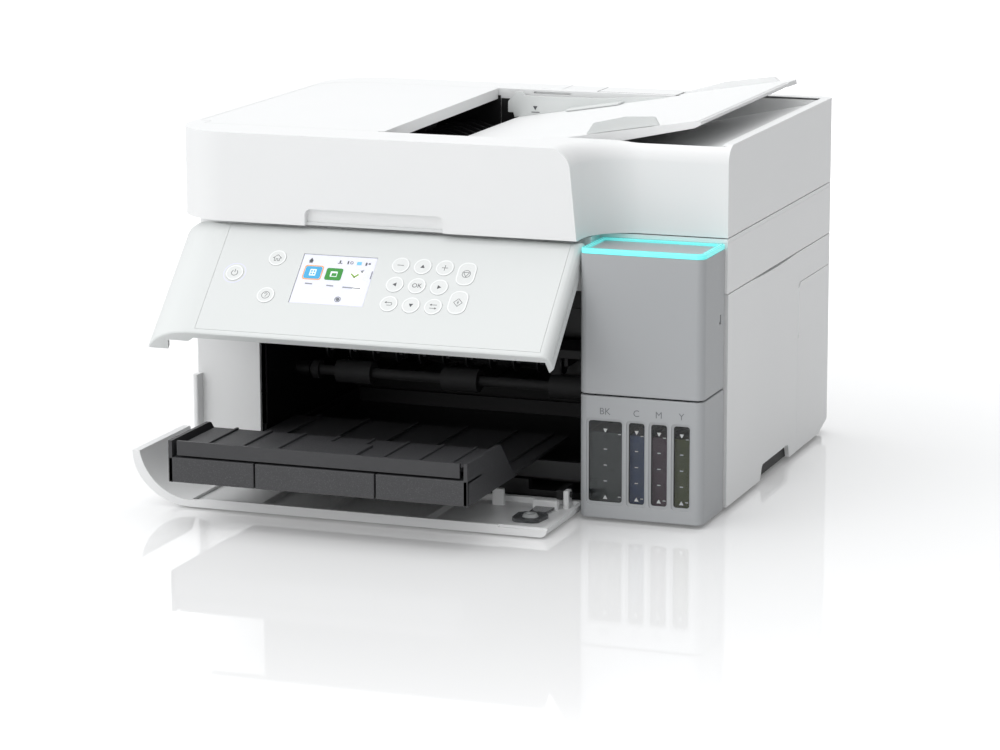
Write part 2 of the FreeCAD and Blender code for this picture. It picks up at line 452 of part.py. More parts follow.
def lid():
    """Document lid: shell with the feeder's well and the output bin, its base plate and the feeder's cover."""
    def slab(name, inset, low, high):
        return prism(name, "XY", top_outline("0", inset), (low, high),
                     [(0, f"corner - {inset}"), (2, f"30 + {inset}"), (4, f"rear_corner - {inset}"),
                      (5, f"left_rear_corner - {inset}")])

    outer = slab("lid_outer", 0, "lid_bottom", "lid_top")
    under = slab("lid_under", 3, "lid_bottom - 1", "feeder_floor - 3")
    behind = box("lid_behind_front", ("-side", "side"), ("feed_front - 3", "rear"), ("lid_bottom - 2", "lid_top"))
    front_void = cut("lid_front_void", slab("lid_front_slab", 3, "lid_bottom - 1", "lid_top - 3"), behind)
    rear_void = box("lid_rear_void", ("-side + 40", "bin_right - 6"), ("bin_rear + 3", "rear - 3"),
                    ("lid_bottom - 1", "lid_top - 3"))
    well = prism("lid_well", "XZ", [("-side + 4", "lid_top + 1"), ("-side + 4", "feeder_floor"), ("24", "feeder_floor"),
                 ("bin_right", "lid_top - 3"), ("bin_right", "lid_top + 1")], ("bin_front", "feed_rear"))
    tail = prism("lid_tail", "XZ", [("78", "lid_top + 1"), ("78", "218"), ("bin_right", "lid_top - 3"),
                 ("bin_right", "lid_top + 1")], ("feed_rear - 1", "bin_rear"))
    front_well = box("lid_front_well", ("-side + 12", "60"), ("feed_front", "bin_front + 1"), ("feeder_floor", "lid_top + 1"))
    notch = prism("lid_grip", "XZ", [("-88", "lid_bottom - 1"), ("9", "lid_bottom - 1"), ("9", "192.5"), ("-88", "192.5")],
                  ("-1", "3.5"), [(2, "5"), (3, "5")])
    post_ways = [box(f"lid_post_way_{i}", (f"{x - 1.5}", f"{x + 7.5}"), ("lid_hinge_y - 6", "rear + 1"),
                     ("lid_bottom - 1", "lid_hinge_z + 7")) for i, x in enumerate((-130, 124))]
    heel = cut("lid_heel", box("lid_heel_block", ("-side - 1", "side + 1"), ("lid_hinge_y", "rear + 1"),
                               ("lid_bottom - 1", "lid_hinge_z")),
               rod("lid_heel_round", "x", ("lid_hinge_y", "lid_hinge_z"), "rear - lid_hinge_y", ("-side - 2", "side + 2")))
    body = cut("lid_body", outer, under, front_void, rear_void, well, tail, front_well, notch, heel,
               *post_ways)
    ears = [box(f"lid_ear_{i}", (f"{x}", f"{x + 4}"), ("lid_hinge_y - 4", "rear - 2"),
                ("lid_hinge_z - 4", "lid_hinge_z + 6")) for i, x in enumerate((-121, 117))]
    bores = [rod(f"lid_bore_{i}", "x", ("lid_hinge_y", "lid_hinge_z"), "2.05", (f"{x - 1}", f"{x + 5}"))
             for i, x in enumerate((-121, 117))]
    bearers = [box(f"feeder_bearer_{i}", ("-96", "-84"), (f"{y}", f"{y + 6}"), ("feeder_floor - 1", "230"))
               for i, y in enumerate((50, 264))]
    bores.append(rod("feeder_bore", "y", ("-90", "224"), "3.05", ("49.5", "271")))
    node("lid_shell", cut("lid_shell", fuse("lid_with_ears", body, *ears, *bearers), *bores))

    plate = slab("plate_slab", 3.3, "lid_bottom", "lid_bottom + 2")
    trim = box("plate_trim", ("-side", "side"), ("bin_rear - 1", "rear"), ("lid_bottom - 1", "lid_bottom + 3"))
    pad = box("plate_pad", ("-glass_x + 3", "glass_x - 3"), ("glass_front + 3", "glass_rear - 3"),
              ("scan_top + 0.1", "lid_bottom + 1"))
    node("lid_base", fuse("lid_base", cut("plate_cut", plate, trim), pad))

    cover = prism("feeder_lid", "XZ", [("-side + 4.4", "lid_top - 3"), ("feed_x", "lid_top - 3"), ("feed_x", "lid_top"),
                  ("-side + 4.4", "lid_top")], ("bin_front + 0.4", "feed_rear - 0.4"))
    toe = box("feeder_lid_toe", ("-side + 12.4", "feed_x"), ("feed_front + 0.4", "bin_front + 2"), ("lid_top - 3", "lid_top"))
    node("feeder_cover", fuse("feeder_cover", cover, toe))
    spindle = rod("pick_shaft", "y", ("-90", "224"), "3", ("51", "269"))
    tyres = [rod(f"pick_tyre_{i}", "y", ("-90", "224"), "11", (f"{y}", f"{y + 22}")) for i, y in enumerate((110, 155, 200))]
    node("feeder_roller", fuse("feeder_roller", spindle, *tyres))


def document_tray():
    """Sloping document tray with its two edge guides, turned about the tray's left end."""
    hinge = ("tray_hinge_x", "0", "tray_hinge_z")
    down = Vector(0, 1, 0)
    slope = "tray_slope"
    top = "tray_hinge_z + 2.8"
    slab = prism("tray_slab", "XY", [("tray_hinge_x", "tray_front"), ("tray_hinge_x + tray_length", "tray_front"),
                 ("tray_hinge_x + tray_length", "bin_rear - 1"), ("tray_hinge_x + 118", "bin_rear - 1"),
                 ("tray_hinge_x + 118", "tray_rear"), ("tray_hinge_x", "tray_rear")],
                 (top + " - tray_thick", top), [(1, "6"), (2, "10"), (3, "3")])
    node("document_tray", turned(slab, down, -SIZES[slope], hinge))
    fence = box("rear_fence", ("tray_hinge_x + 4", "tray_hinge_x + 112"), ("tray_rear - 4", "tray_rear - 1.8"),
                (top + " + 0.3", top + " + 12"))
    heel = box("rear_heel", ("tray_hinge_x + 40", "tray_hinge_x + 80"), ("tray_rear - 16", "tray_rear - 3"),
               (top + " + 0.3", top + " + 1.6"))
    node("document_guide_rear", turned(fuse("document_guide_rear", fence, heel), down, -SIZES[slope], hinge))
    fence = box("front_fence", ("tray_hinge_x + 92", "tray_hinge_x + 172"), ("tray_front + 2", "tray_front + 4.2"),
                (top + " + 0.3", top + " + 9"))
    heel = box("front_heel", ("tray_hinge_x + 110", "tray_hinge_x + 165"), ("tray_front + 3", "tray_front + 18"),
               (top + " + 0.3", top + " + 1.6"))
    node("document_guide_front", turned(fuse("document_guide_front", fence, heel), down, -SIZES[slope], hinge))


# ---------------------------------------------------------------- control panel
KEYPAD = {"key_minus": (0, 0), "key_up": (1, 0), "key_plus": (2, 0), "key_left": (0, 1), "key_ok": (1, 1),
          "key_right": (2, 1), "key_back": (0, 2), "key_down": (1, 2), "key_swap": (2, 2)}
ROUND_KEYS = {"key_power": (-127.6, 136.0), "key_home": (-101.2, 149.8), "key_help": (-100.8, 120.1)}
PILL_KEYS = {"key_stop": (31.3, 146.3), "key_start": (31.5, 123.9)}


def key_places():
    """Centre of every round key, in x and z with the panel closed."""
    pitch = SIZES["key_pitch"]
    places = dict(ROUND_KEYS)
    for name, (column, line) in KEYPAD.items():
        places[name] = (SIZES["pad_x"] + column * pitch, SIZES["pad_z"] - line * pitch)
    return places


def control_panel():
    """Panel drawn closed, with its face at y = 0, then swung out about its top hinge."""
    def open_out(item):
        return turned(item, Vector(1, 0, 0), -SIZES["panel_tilt"], ("0", "panel_hinge_y", "panel_hinge_z"))

    def pill(name, x, z, grow, span):
        half_x, half_z = 6.4 + grow, 9.0 + grow
        return prism(name, "XZ", [(f"{x - half_x}", f"{z - half_z}"), (f"{x + half_x}", f"{z - half_z}"),
                     (f"{x + half_x}", f"{z + half_z}"), (f"{x - half_x}", f"{z + half_z}")], span,
                     [(i, f"{5.2 + grow}") for i in range(4)])

    outer = prism("panel_outer", "XY", [("-side", "0"), ("panel_right", "0"), ("panel_right", "14"),
                  ("face_right + 1", "21"), ("-side", "60")], ("panel_bottom", "panel_top"), [(0, "corner"), (1, "5")])
    inner = prism("panel_inner", "XY", [("-side + 4", "2.6"), ("panel_right - 3", "2.6"), ("panel_right - 3", "61"),
                  ("-side + 4", "61")], ("panel_bottom + 3", "panel_top + 1"), [(0, "corner - 4")])
    behind = box("panel_behind", ("-side - 1", "side"), ("21", "70"), ("panel_bottom - 1", "panel_top + 1"))
    low_rear = box("panel_low_rear", ("face_left + 2", "panel_right - 3"), ("12", "30"), ("panel_bottom - 1", "panel_top + 1"))
    crest = cut("panel_crest", box("crest_block", ("-side - 1", "side"), ("-1", "panel_hinge_y"),
                                   ("panel_hinge_z", "panel_top + 1")),
                rod("crest_round", "x", ("panel_hinge_y", "panel_hinge_z"), "panel_hinge_y", ("-side - 2", "side + 1")))
    front_way = box("face_way", ("face_left - 0.15", "face_right + 0.15"), ("-1", "3"), ("panel_bottom + 3.4", "panel_top + 1"))
    shell = cut("panel_frame", outer, inner, behind, low_rear, front_way, crest)
    node("panel_frame", open_out(shell))

    plate = box("face_plate", ("face_left", "face_right"), ("0", "2.5"), ("panel_bottom + 3.6", "panel_top"))
    key_holes = [rod(f"{name}_hole", "y", (f"{x}", f"{z}"), "key_radius + key_gap", ("-1", "4"))
                 for name, (x, z) in key_places().items()]
    pill_holes = [pill(f"{name}_hole", x, z, SIZES["key_gap"], ("-1", "4")) for name, (x, z) in PILL_KEYS.items()]
    glass_hole = box("display_hole", ("-83.6", "-32"), ("-1", "4"), ("115.8", "154.8"))
    knuckles = [rod(f"knuckle_{i}", "x", ("panel_hinge_y", "panel_hinge_z"), "4.4", (f"{x}", f"{x + 4}"))
                for i, x in enumerate((-119.6, 74.4))]
    webs = [box(f"knuckle_web_{i}", (f"{x}", f"{x + 4}"), ("1.5", "panel_hinge_y"), ("panel_hinge_z - 4.4", "panel_hinge_z + 4"))
            for i, x in enumerate((-119.6, 74.4))]
    bores = [rod(f"knuckle_bore_{i}", "x", ("panel_hinge_y", "panel_hinge_z"), "2.05", (f"{x - 1}", f"{x + 5}"))
             for i, x in enumerate((-119.6, 74.4))]
    node("panel_face", open_out(cut("panel_face", fuse("face_solid", plate, *knuckles, *webs), crest, glass_hole,
                                    *key_holes, *pill_holes, *bores)))

    tray = box("back_outer", ("-139", "92"), ("4.8", "11.8"), ("panel_bottom + 5", "158"))
    void = box("back_inner", ("-137", "90"), ("4", "10"), ("panel_bottom + 7", "156"))
    node("panel_back", open_out(cut("panel_back", tray, void)))
    node("display", open_out(box("display", ("-83.4", "-32.2"), ("0.4", "6"), ("116", "154.6"))))

    for name, (x, z) in key_places().items():
        cap = rod(f"{name}_cap", "y", (f"{x}", f"{z}"), "key_radius", ("-0.3", "4.2"))
        node(name, open_out(cap))
    for name, (x, z) in PILL_KEYS.items():
        node(name, open_out(pill(f"{name}_cap", x, z, 0.0, ("-0.3", "4.2"))))


# ---------------------------------------------------------------- lower front cover
def front_cover():
    """Cover drawn closed, with its face at y = 0, then dropped forward about its bottom hinge."""
    def drop(item):
        return turned(item, Vector(1, 0, 0), 90, ("0", "cover_hinge_y", "cover_hinge_z"))

    outer = prism("cover_outer", "XY", [("-side", "0"), ("cover_right", "0"), ("cover_right", "cover_rim"),
                  ("-side + 40", "cover_rim"), ("-side + 40", "35"), ("-side", "35")], ("foot_top", "cover_top"),
                  [(1, "3.5")])
    round_off = prism("cover_corner", "XY", [("-side - 1", "-1"), ("-side + corner", "-1"), ("-side + corner", "0"),
                      ("-side", "corner"), ("-side - 1", "corner")], ("foot_top - 1", "cover_top + 1"))
    drum = rod("cover_drum", "z", ("-side + corner", "corner"), "corner", ("foot_top - 2", "cover_top + 2"))
    core = rod("cover_core", "z", ("-side + corner", "corner"), "corner - 4.5", ("foot_top - 2", "cover_top + 2"))
    room = box("cover_room", ("-side + corner - 0.5", "cover_right - 4"), ("2.4", "36"), ("foot_top + 4", "cover_top - 4"))
    thin = box("cover_thin", ("-side + corner - 0.5", "cover_right + 1"), ("cover_rim", "36"), ("foot_top - 1", "cover_top + 1"))
    ribs = [box(f"cover_rib_{i}", (f"{x}", f"{x + 1.6}"), ("1.5", "cover_rim - 1.5"), ("foot_top + 3", "cover_top - 3"))
            for i, x in enumerate((-96, -54, -12))]
    post = box("cover_post", ("41", "49"), ("1.5", "13.5"), ("20", "22.5"))
    lugs = [box(f"cover_lug_{i}", (f"{x}", f"{x + 4}"), ("1.5", "cover_hinge_y + 3"),
                ("cover_hinge_z - 3.6", "cover_hinge_z + 3.6")) for i, x in enumerate((-128.6, 88.4))]
    bores = [rod(f"cover_bore_{i}", "x", ("cover_hinge_y", "cover_hinge_z"), "2.05", (f"{x - 1}", f"{x + 5}"))
             for i, x in enumerate((-128.6, 88.4))]
    shell = cut("cover_shell", outer, cut("cover_round", round_off, drum), core, room, thin)
    hem = cut("cover_hem", box("hem_block", ("-side - 1", "side"), ("-1", "cover_hinge_y"),
                               ("foot_top - 1", "cover_hinge_z")),
              rod("hem_round", "x", ("cover_hinge_y", "cover_hinge_z"), "cover_hinge_y", ("-side - 2", "side + 1")))
    node("front_cover", drop(cut("front_cover", fuse("cover_solid", shell, *ribs, post, *lugs), hem, *bores)))


for build in (casing, electrics, paper_path, rear_hatch, tank_unit, scanner, lid, document_tray, control_panel,
              front_cover):
    build()
doc.recompute()

for item in doc.Objects:
    if {"Invalid", "Error"} & set(item.State):
        raise RuntimeError(f"{item.Label} failed: {item.State}")
os.makedirs("parts", exist_ok=True)
for name, item in NODES.items():
    shape = item.Shape
    if shape.isNull() or not shape.isValid() or not shape.Solids:
        raise RuntimeError(f"{name} has no valid solid")
    shape.exportStep(f"parts/{name}.step")
    print(f"{name:24s} {len(shape.Solids)} solid, {shape.Volume / 1000:9.1f} cm3")
print(len(NODES), "nodes")
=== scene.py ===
"""Ink tank printer shown open: visible shells, keys, display, ink windows and finishes on the CAD frame.

Sizes are in millimetres. x runs to the printer's right, y back from the lid's front face, z up from the
table. Solid.make moves a finished shape into the CAD frame, in metres.
"""

import logging
import math
from collections.abc import Callable, Mapping, Sequence
from dataclasses import dataclass, field
from enum import Enum

import bmesh
import bpy
from mathutils import Matrix, Vector


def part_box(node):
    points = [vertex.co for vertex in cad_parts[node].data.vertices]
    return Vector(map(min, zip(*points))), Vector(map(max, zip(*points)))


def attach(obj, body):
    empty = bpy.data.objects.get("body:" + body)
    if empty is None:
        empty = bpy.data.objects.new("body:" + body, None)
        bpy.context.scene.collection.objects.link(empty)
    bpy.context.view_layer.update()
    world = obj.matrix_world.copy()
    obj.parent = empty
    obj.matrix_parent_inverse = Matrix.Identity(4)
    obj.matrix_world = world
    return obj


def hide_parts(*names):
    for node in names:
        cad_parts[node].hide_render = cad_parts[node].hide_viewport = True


MM = 0.001
CREASE = math.radians(30.0)
LOG = logging.getLogger("ink_tank_printer")
Point = tuple[float, float]
Span = tuple[float, float]

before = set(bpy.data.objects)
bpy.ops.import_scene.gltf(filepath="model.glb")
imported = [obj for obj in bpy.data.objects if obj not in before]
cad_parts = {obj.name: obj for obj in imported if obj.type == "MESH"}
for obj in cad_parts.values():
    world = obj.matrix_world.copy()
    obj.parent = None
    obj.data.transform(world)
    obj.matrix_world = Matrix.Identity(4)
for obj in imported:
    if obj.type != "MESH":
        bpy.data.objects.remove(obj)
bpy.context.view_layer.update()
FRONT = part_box("lid_shell")[0][1] / MM

PANEL_HINGE = (0.0, 7.0, 172.15)
PANEL_TILT = 45.5
COVER_HINGE = (0.0, 11.4, 12.6)
TRAY_HINGE = (-34.0, 0.0, 218.6)
TRAY_SLOPE = 9.4


class Axis(Enum):
    """The axis that an outline is drawn out along."""

    X = 0
    Y = 1
    Z = 2


# ---------------------------------------------------------------- finishes
def linear(code: str) -> tuple[float, float, float, float]:
    """Turn an sRGB hex colour into linear RGBA.

    Args:
        code: Colour such as "#f2f2f0".

    Returns:
        Linear red, green, blue and an alpha of 1.
    """
    parts = [int(code[i:i + 2], 16) / 255 for i in (1, 3, 5)]
    red, green, blue = (c / 12.92 if c <= 0.04045 else ((c + 0.055) / 1.055) ** 2.4 for c in parts)
    return red, green, blue, 1.0


def add(tree: bpy.types.NodeTree, kind: str, links: Mapping[str, object] | None = None,
        **settings: object) -> bpy.types.Node:
    """Add a node with its settings and links.

    Args:
        tree: The material's or world's node tree.
        kind: Node type without the ShaderNode prefix.
        links: Input name to a value, or to an output socket to link.
        settings: Attributes of the node.

    Returns:
        The new node.
    """
    node = tree.nodes.new("ShaderNode" + kind)
    for name, value in settings.items():
        setattr(node, name, value)
    for name, value in (links or {}).items():
        socket = node.inputs[int(name)] if name.isdigit() else node.inputs[name]
        if isinstance(value, bpy.types.NodeSocket):
            tree.links.new(value, socket)
        else:
            socket.default_value = value
    return node


def noise(tree: bpy.types.NodeTree, place: bpy.types.NodeSocket, size_mm: float, detail: float,
          roughness: float = 0.5) -> bpy.types.NodeSocket:
    """Add a noise whose patches are about size_mm across, and return its level."""
    return add(tree, "TexNoise", {"Vector": place, "Scale": 1 / (size_mm * MM), "Detail": detail,
                                  "Roughness": roughness}).outputs["Fac"]


@dataclass(frozen=True)
class Finish:
    """A surface finish that is built once and shared, with the record's material slot it belongs to."""

    name: str
    colour: str
    shade: str = ""
    roughness: float = 0.45
    ior: float = 1.49
    slot: str = "white_shell"

    def tree(self) -> tuple[bpy.types.Material, bpy.types.NodeTree, bpy.types.Node, bpy.types.Node]:
        """Start a material: the material, its tree, the shader and the object coordinates."""
        material = bpy.data.materials.new(self.name)
        material.use_nodes = True
        tree = material.node_tree
        tree.nodes.clear()
        shader = add(tree, "BsdfPrincipled", {"Base Color": linear(self.colour), "Roughness": self.roughness,
                                              "IOR": self.ior})
        output = add(tree, "OutputMaterial")
        tree.links.new(shader.outputs[0], output.inputs[0])
        return material, tree, shader, add(tree, "TexCoord")

    def mottle(self, tree: bpy.types.NodeTree, level: bpy.types.NodeSocket) -> bpy.types.NodeSocket:
        """Mix the colour and its shade by a level, and return the colour socket."""
        tone = add(tree, "Mix", {"0": level, "6": linear(self.colour),
                                 "7": linear(self.shade or self.colour)}, data_type="RGBA")
        return tone.outputs[2]

    @staticmethod
    def relief(tree: bpy.types.NodeTree, shader: bpy.types.Node, height: bpy.types.NodeSocket,
               strength: float, depth_mm: float) -> None:
        """Raise and lower the surface by a level, depth_mm deep."""
        bump = add(tree, "Bump", {"Height": height, "Strength": strength, "Distance": depth_mm * MM})
        tree.links.new(bump.outputs[0], shader.inputs["Normal"])

    def build(self) -> bpy.types.Material:
        """Make the material."""
        raise NotImplementedError

    def material(self) -> bpy.types.Material:
        """Return the finish's material, made on first use."""
        return bpy.data.materials.get(self.name) or self.build()


@dataclass(frozen=True)
class MouldedPlastic(Finish):
    """ABS or polystyrene from a spark-eroded mould: fine even grain, faint flow marks, soft sheen."""

    grain_mm: float = 0.9
    grain_depth_mm: float = 0.012
    painted_glint: float = 0.0

    def build(self) -> bpy.types.Material:
        """Make the material: grain in the bump, slow change of tone, and a painted glint: lighter grey on the
        grain's peaks.
        """
        material, tree, shader, where = self.tree()
        flow = noise(tree, where.outputs["Object"], 90.0, 2.0)
        grain = noise(tree, where.outputs["Object"], self.grain_mm, 3.0, 0.6)
        colour = self.mottle(tree, flow)
        # Painted highlight: a lighter grey mixed in where the grain is high, standing for light glinting off
        # it.
        if self.painted_glint:
            glint = add(tree, "MapRange", {"Value": grain, "From Min": 0.52, "From Max": 0.72, "To Min": 0.0,
                                           "To Max": self.painted_glint})
            lit = add(tree, "Mix", {"0": glint.outputs[0], "6": colour, "7": linear("#9a9a9c")},
                      data_type="RGBA")
            colour = lit.outputs[2]
        tree.links.new(colour, shader.inputs["Base Color"])
        gloss = add(tree, "MapRange", {"Value": grain, "From Min": 0.3, "From Max": 0.7,
                                       "To Min": self.roughness - 0.05, "To Max": self.roughness + 0.06})
        tree.links.new(gloss.outputs[0], shader.inputs["Roughness"])
        self.relief(tree, shader, grain, 0.35, self.grain_depth_mm)
        return material


@dataclass(frozen=True)
class Rubber(Finish):
    """Moulded nitrile rubber: dark, matte, with a slight dusting and a coarse ground surface."""

    def build(self) -> bpy.types.Material:
        """Make the material: two sizes of roughness in the bump and a dusty change of tone."""
        material, tree, shader, where = self.tree()
        dust = noise(tree, where.outputs["Object"], 6.0, 5.0)
        tree.links.new(self.mottle(tree, dust), shader.inputs["Base Color"])
        self.relief(tree, shader, noise(tree, where.outputs["Object"], 0.5, 4.0), 0.5, 0.03)
        return material


@dataclass(frozen=True)
class GroundSteel(Finish):
    """Centreless-ground steel rod: fine lines round the bar and a bright long highlight."""

    def build(self) -> bpy.types.Material:
        """Make the material: lines across x, stretched noise in the roughness."""
        material, tree, shader, where = self.tree()
        lines = add(tree, "Mapping", {"Vector": where.outputs["Object"],
                                      "Scale": (1 / (0.2 * MM), 20.0, 20.0)})
        grind = add(tree, "TexNoise", {"Vector": lines.outputs[0], "Scale": 1.0, "Detail": 4.0})
        gloss = add(tree, "MapRange", {"Value": grind.outputs["Fac"], "To Min": self.roughness - 0.08,
                                       "To Max": self.roughness + 0.12})
        tree.links.new(gloss.outputs[0], shader.inputs["Roughness"])
        self.relief(tree, shader, grind.outputs["Fac"], 0.2, 0.01)
        shader.inputs["Metallic"].default_value = 1.0
        return material


@dataclass(frozen=True)
class ClearPlastic(Finish):
    """Polished acrylic or polycarbonate that lets light through, smoky or frosted."""

    clarity: float = 0.8
    thickness_wave_mm: float = 18.0

    def build(self) -> bpy.types.Material:
        """Make the material: transmission with a slow ripple, as moulded clear parts have."""
        material, tree, shader, where = self.tree()
        ripple = noise(tree, where.outputs["Object"], self.thickness_wave_mm, 1.0)
        tree.links.new(self.mottle(tree, ripple), shader.inputs["Base Color"])
        self.relief(tree, shader, ripple, 0.1, 0.05)
        shader.inputs["Transmission Weight"].default_value = self.clarity
        return material


@dataclass(frozen=True)
class LitSurface(Finish):
    """A surface that glows: the display's tiles and the light ring."""

    glow: float = 0.8

    def build(self) -> bpy.types.Material:
        """Make the material: an even glow with a faint change of tone under a clear top."""
        material, tree, shader, where = self.tree()
        tone = self.mottle(tree, noise(tree, where.outputs["Object"], 25.0, 1.0))
        tree.links.new(tone, shader.inputs["Base Color"])
        tree.links.new(tone, shader.inputs["Emission Color"])
        shader.inputs["Emission Strength"].default_value = self.glow
        return material


# White ABS injection mouldings: outer walls and lid in a fine eroded grain, panel and keys smoother
WHITE = MouldedPlastic("white_abs_fine_grain", "#f1f1f1", "#eeefef", 0.42)
# The panel's white is darker than the shell's: partly its own tone, partly painted shade.
PANEL_WHITE_WITH_PAINTED_SHADE = MouldedPlastic("panel_abs_satin_with_painted_shade", "#dfe1e0", "#dde0df", 0.34, grain_mm=0.7,
                             grain_depth_mm=0.008, slot="white_trim")
INNER_WHITE = MouldedPlastic("inner_polystyrene", "#e3e5e5", "#dfe1e1", 0.4)
KEY_WHITE = MouldedPlastic("key_cap_abs", "#e6e8e7", "#e2e4e3", 0.3, grain_mm=0.6, grain_depth_mm=0.006,
                           slot="key_white")
# A brighter white laid on key edges and in the corner cover's slot: painted highlights.
PAINTED_HIGHLIGHT_WHITE = MouldedPlastic("painted_highlight_white_gloss", "#fbfcfc", "#f6f8f8", 0.22, grain_mm=0.6, grain_depth_mm=0.003,
                           slot="key_white")
# Pigmented ABS of the tank unit; high-impact polystyrene of the trays, frames and mechanism
GREY = MouldedPlastic("tank_abs_grey", "#afb1b3", "#abadaf", 0.4, slot="grey_unit")
TRAY = MouldedPlastic("tray_polystyrene_dark", "#3a3a3c", "#353537", 0.46, slot="tray_grey")
# The tray front's lighter flecks are painted glints on its coarse grain.
TRAY_FACE = MouldedPlastic("tray_front_coarse_grain", "#3f3f41", "#39393b", 0.5, grain_mm=0.7,
                           grain_depth_mm=0.05, painted_glint=0.16, slot="tray_grey")
BLACK = MouldedPlastic("black_frame_polystyrene", "#0e0e0f", "#121214", 0.5, slot="black_plastic")
DARK = MouldedPlastic("dark_mechanism_plastic", "#1d1d1f", "#18181a", 0.45, slot="dark_plastic")
# Also used as painted shade at the bottom of the tank cover's catch slot.
NEAR_BLACK_AND_SHADE = MouldedPlastic("feeder_inside_black", "#0a0a0b", "#0e0e10", 0.6, slot="dark_plastic")
# Pad-printed inks: symbols and letters on white or grey, scales on the clear windows
# The same grey also paints the shade in the lid's rear plate seam.
PRINT_AND_SEAM_SHADE_GREY = MouldedPlastic("print_and_painted_seam_shade_grey", "#5a5b5e", "#57585b", 0.55, grain_mm=0.5,
                          grain_depth_mm=0.001, slot="key_white")
WINDOW_MARK = MouldedPlastic("window_marking_white", "#c9cbcb", "#bfc1c1", 0.5, grain_mm=0.5,
                             grain_depth_mm=0.001, slot="clear_window")
LETTER = MouldedPlastic("tank_letter_grey", "#75777a", "#727477", 0.55, grain_mm=0.5, grain_depth_mm=0.001,
                        slot="grey_unit")
# Moulded nitrile rubber, and the ground steel rod that the carriage slides on
FEET = Rubber("foot_rubber", "#1c1c1d", "#242425", 0.8)
ROLLER = Rubber("roller_rubber", "#2a2a2b", "#333334", 0.72, slot="roller")
STEEL = GroundSteel("ground_steel_rod", "#b9babc", roughness=0.24, slot="steel")
# Polished polycarbonate and acrylic mouldings, and the float glass of the scanner
SMOKE = ClearPlastic("smoky_polycarbonate", "#a3a5a7", "#999b9d", 0.1, 1.45, clarity=0.85,
                     slot="clear_window")
BOSS_CLEAR = ClearPlastic("frosted_clear_boss", "#e8eaea", "#dfe2e2", 0.25, 1.5, clarity=0.45,
                          slot="clear_window")
GLASS = ClearPlastic("float_glass", "#dfe9e6", "#dfe9e6", 0.03, 1.52, clarity=0.95)
# Edge-lit acrylic light guide: bright face and deeper edge
RING = LitSurface("lit_cyan_light_guide", "#86fbf9", "#74f6f3", 0.18, 1.49, glow=0.3, slot="ring_cyan")
RING_EDGE = LitSurface("light_guide_edge", "#2fb7b4", "#28a6a4", 0.2, 1.49, glow=0.25, slot="ring_cyan")
# Blow-moulded polypropylene tanks, powder-coated steel can and the solder-masked board
TANK_CLEAR = ClearPlastic("tank_polypropylene", "#dfe2e2", "#d8dbdb", 0.06, 1.1, clarity=1.0)
METAL_CASE = MouldedPlastic("coated_sheet_steel", "#4c4e50", "#47494b", 0.4, slot="metal_case")
BOARD = MouldedPlastic("circuit_board_green", "#1f5a3a", "#1a4d31", 0.35, slot="dark_plastic")


def dress(name: str, finish: Finish) -> None:
    """Give a CAD node a finish.

    Args:
        name: The node's name.
        finish: The finish for its whole surface.
    """
    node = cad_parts[name]
    node.data.materials.clear()
    node.data.materials.append(finish.material())


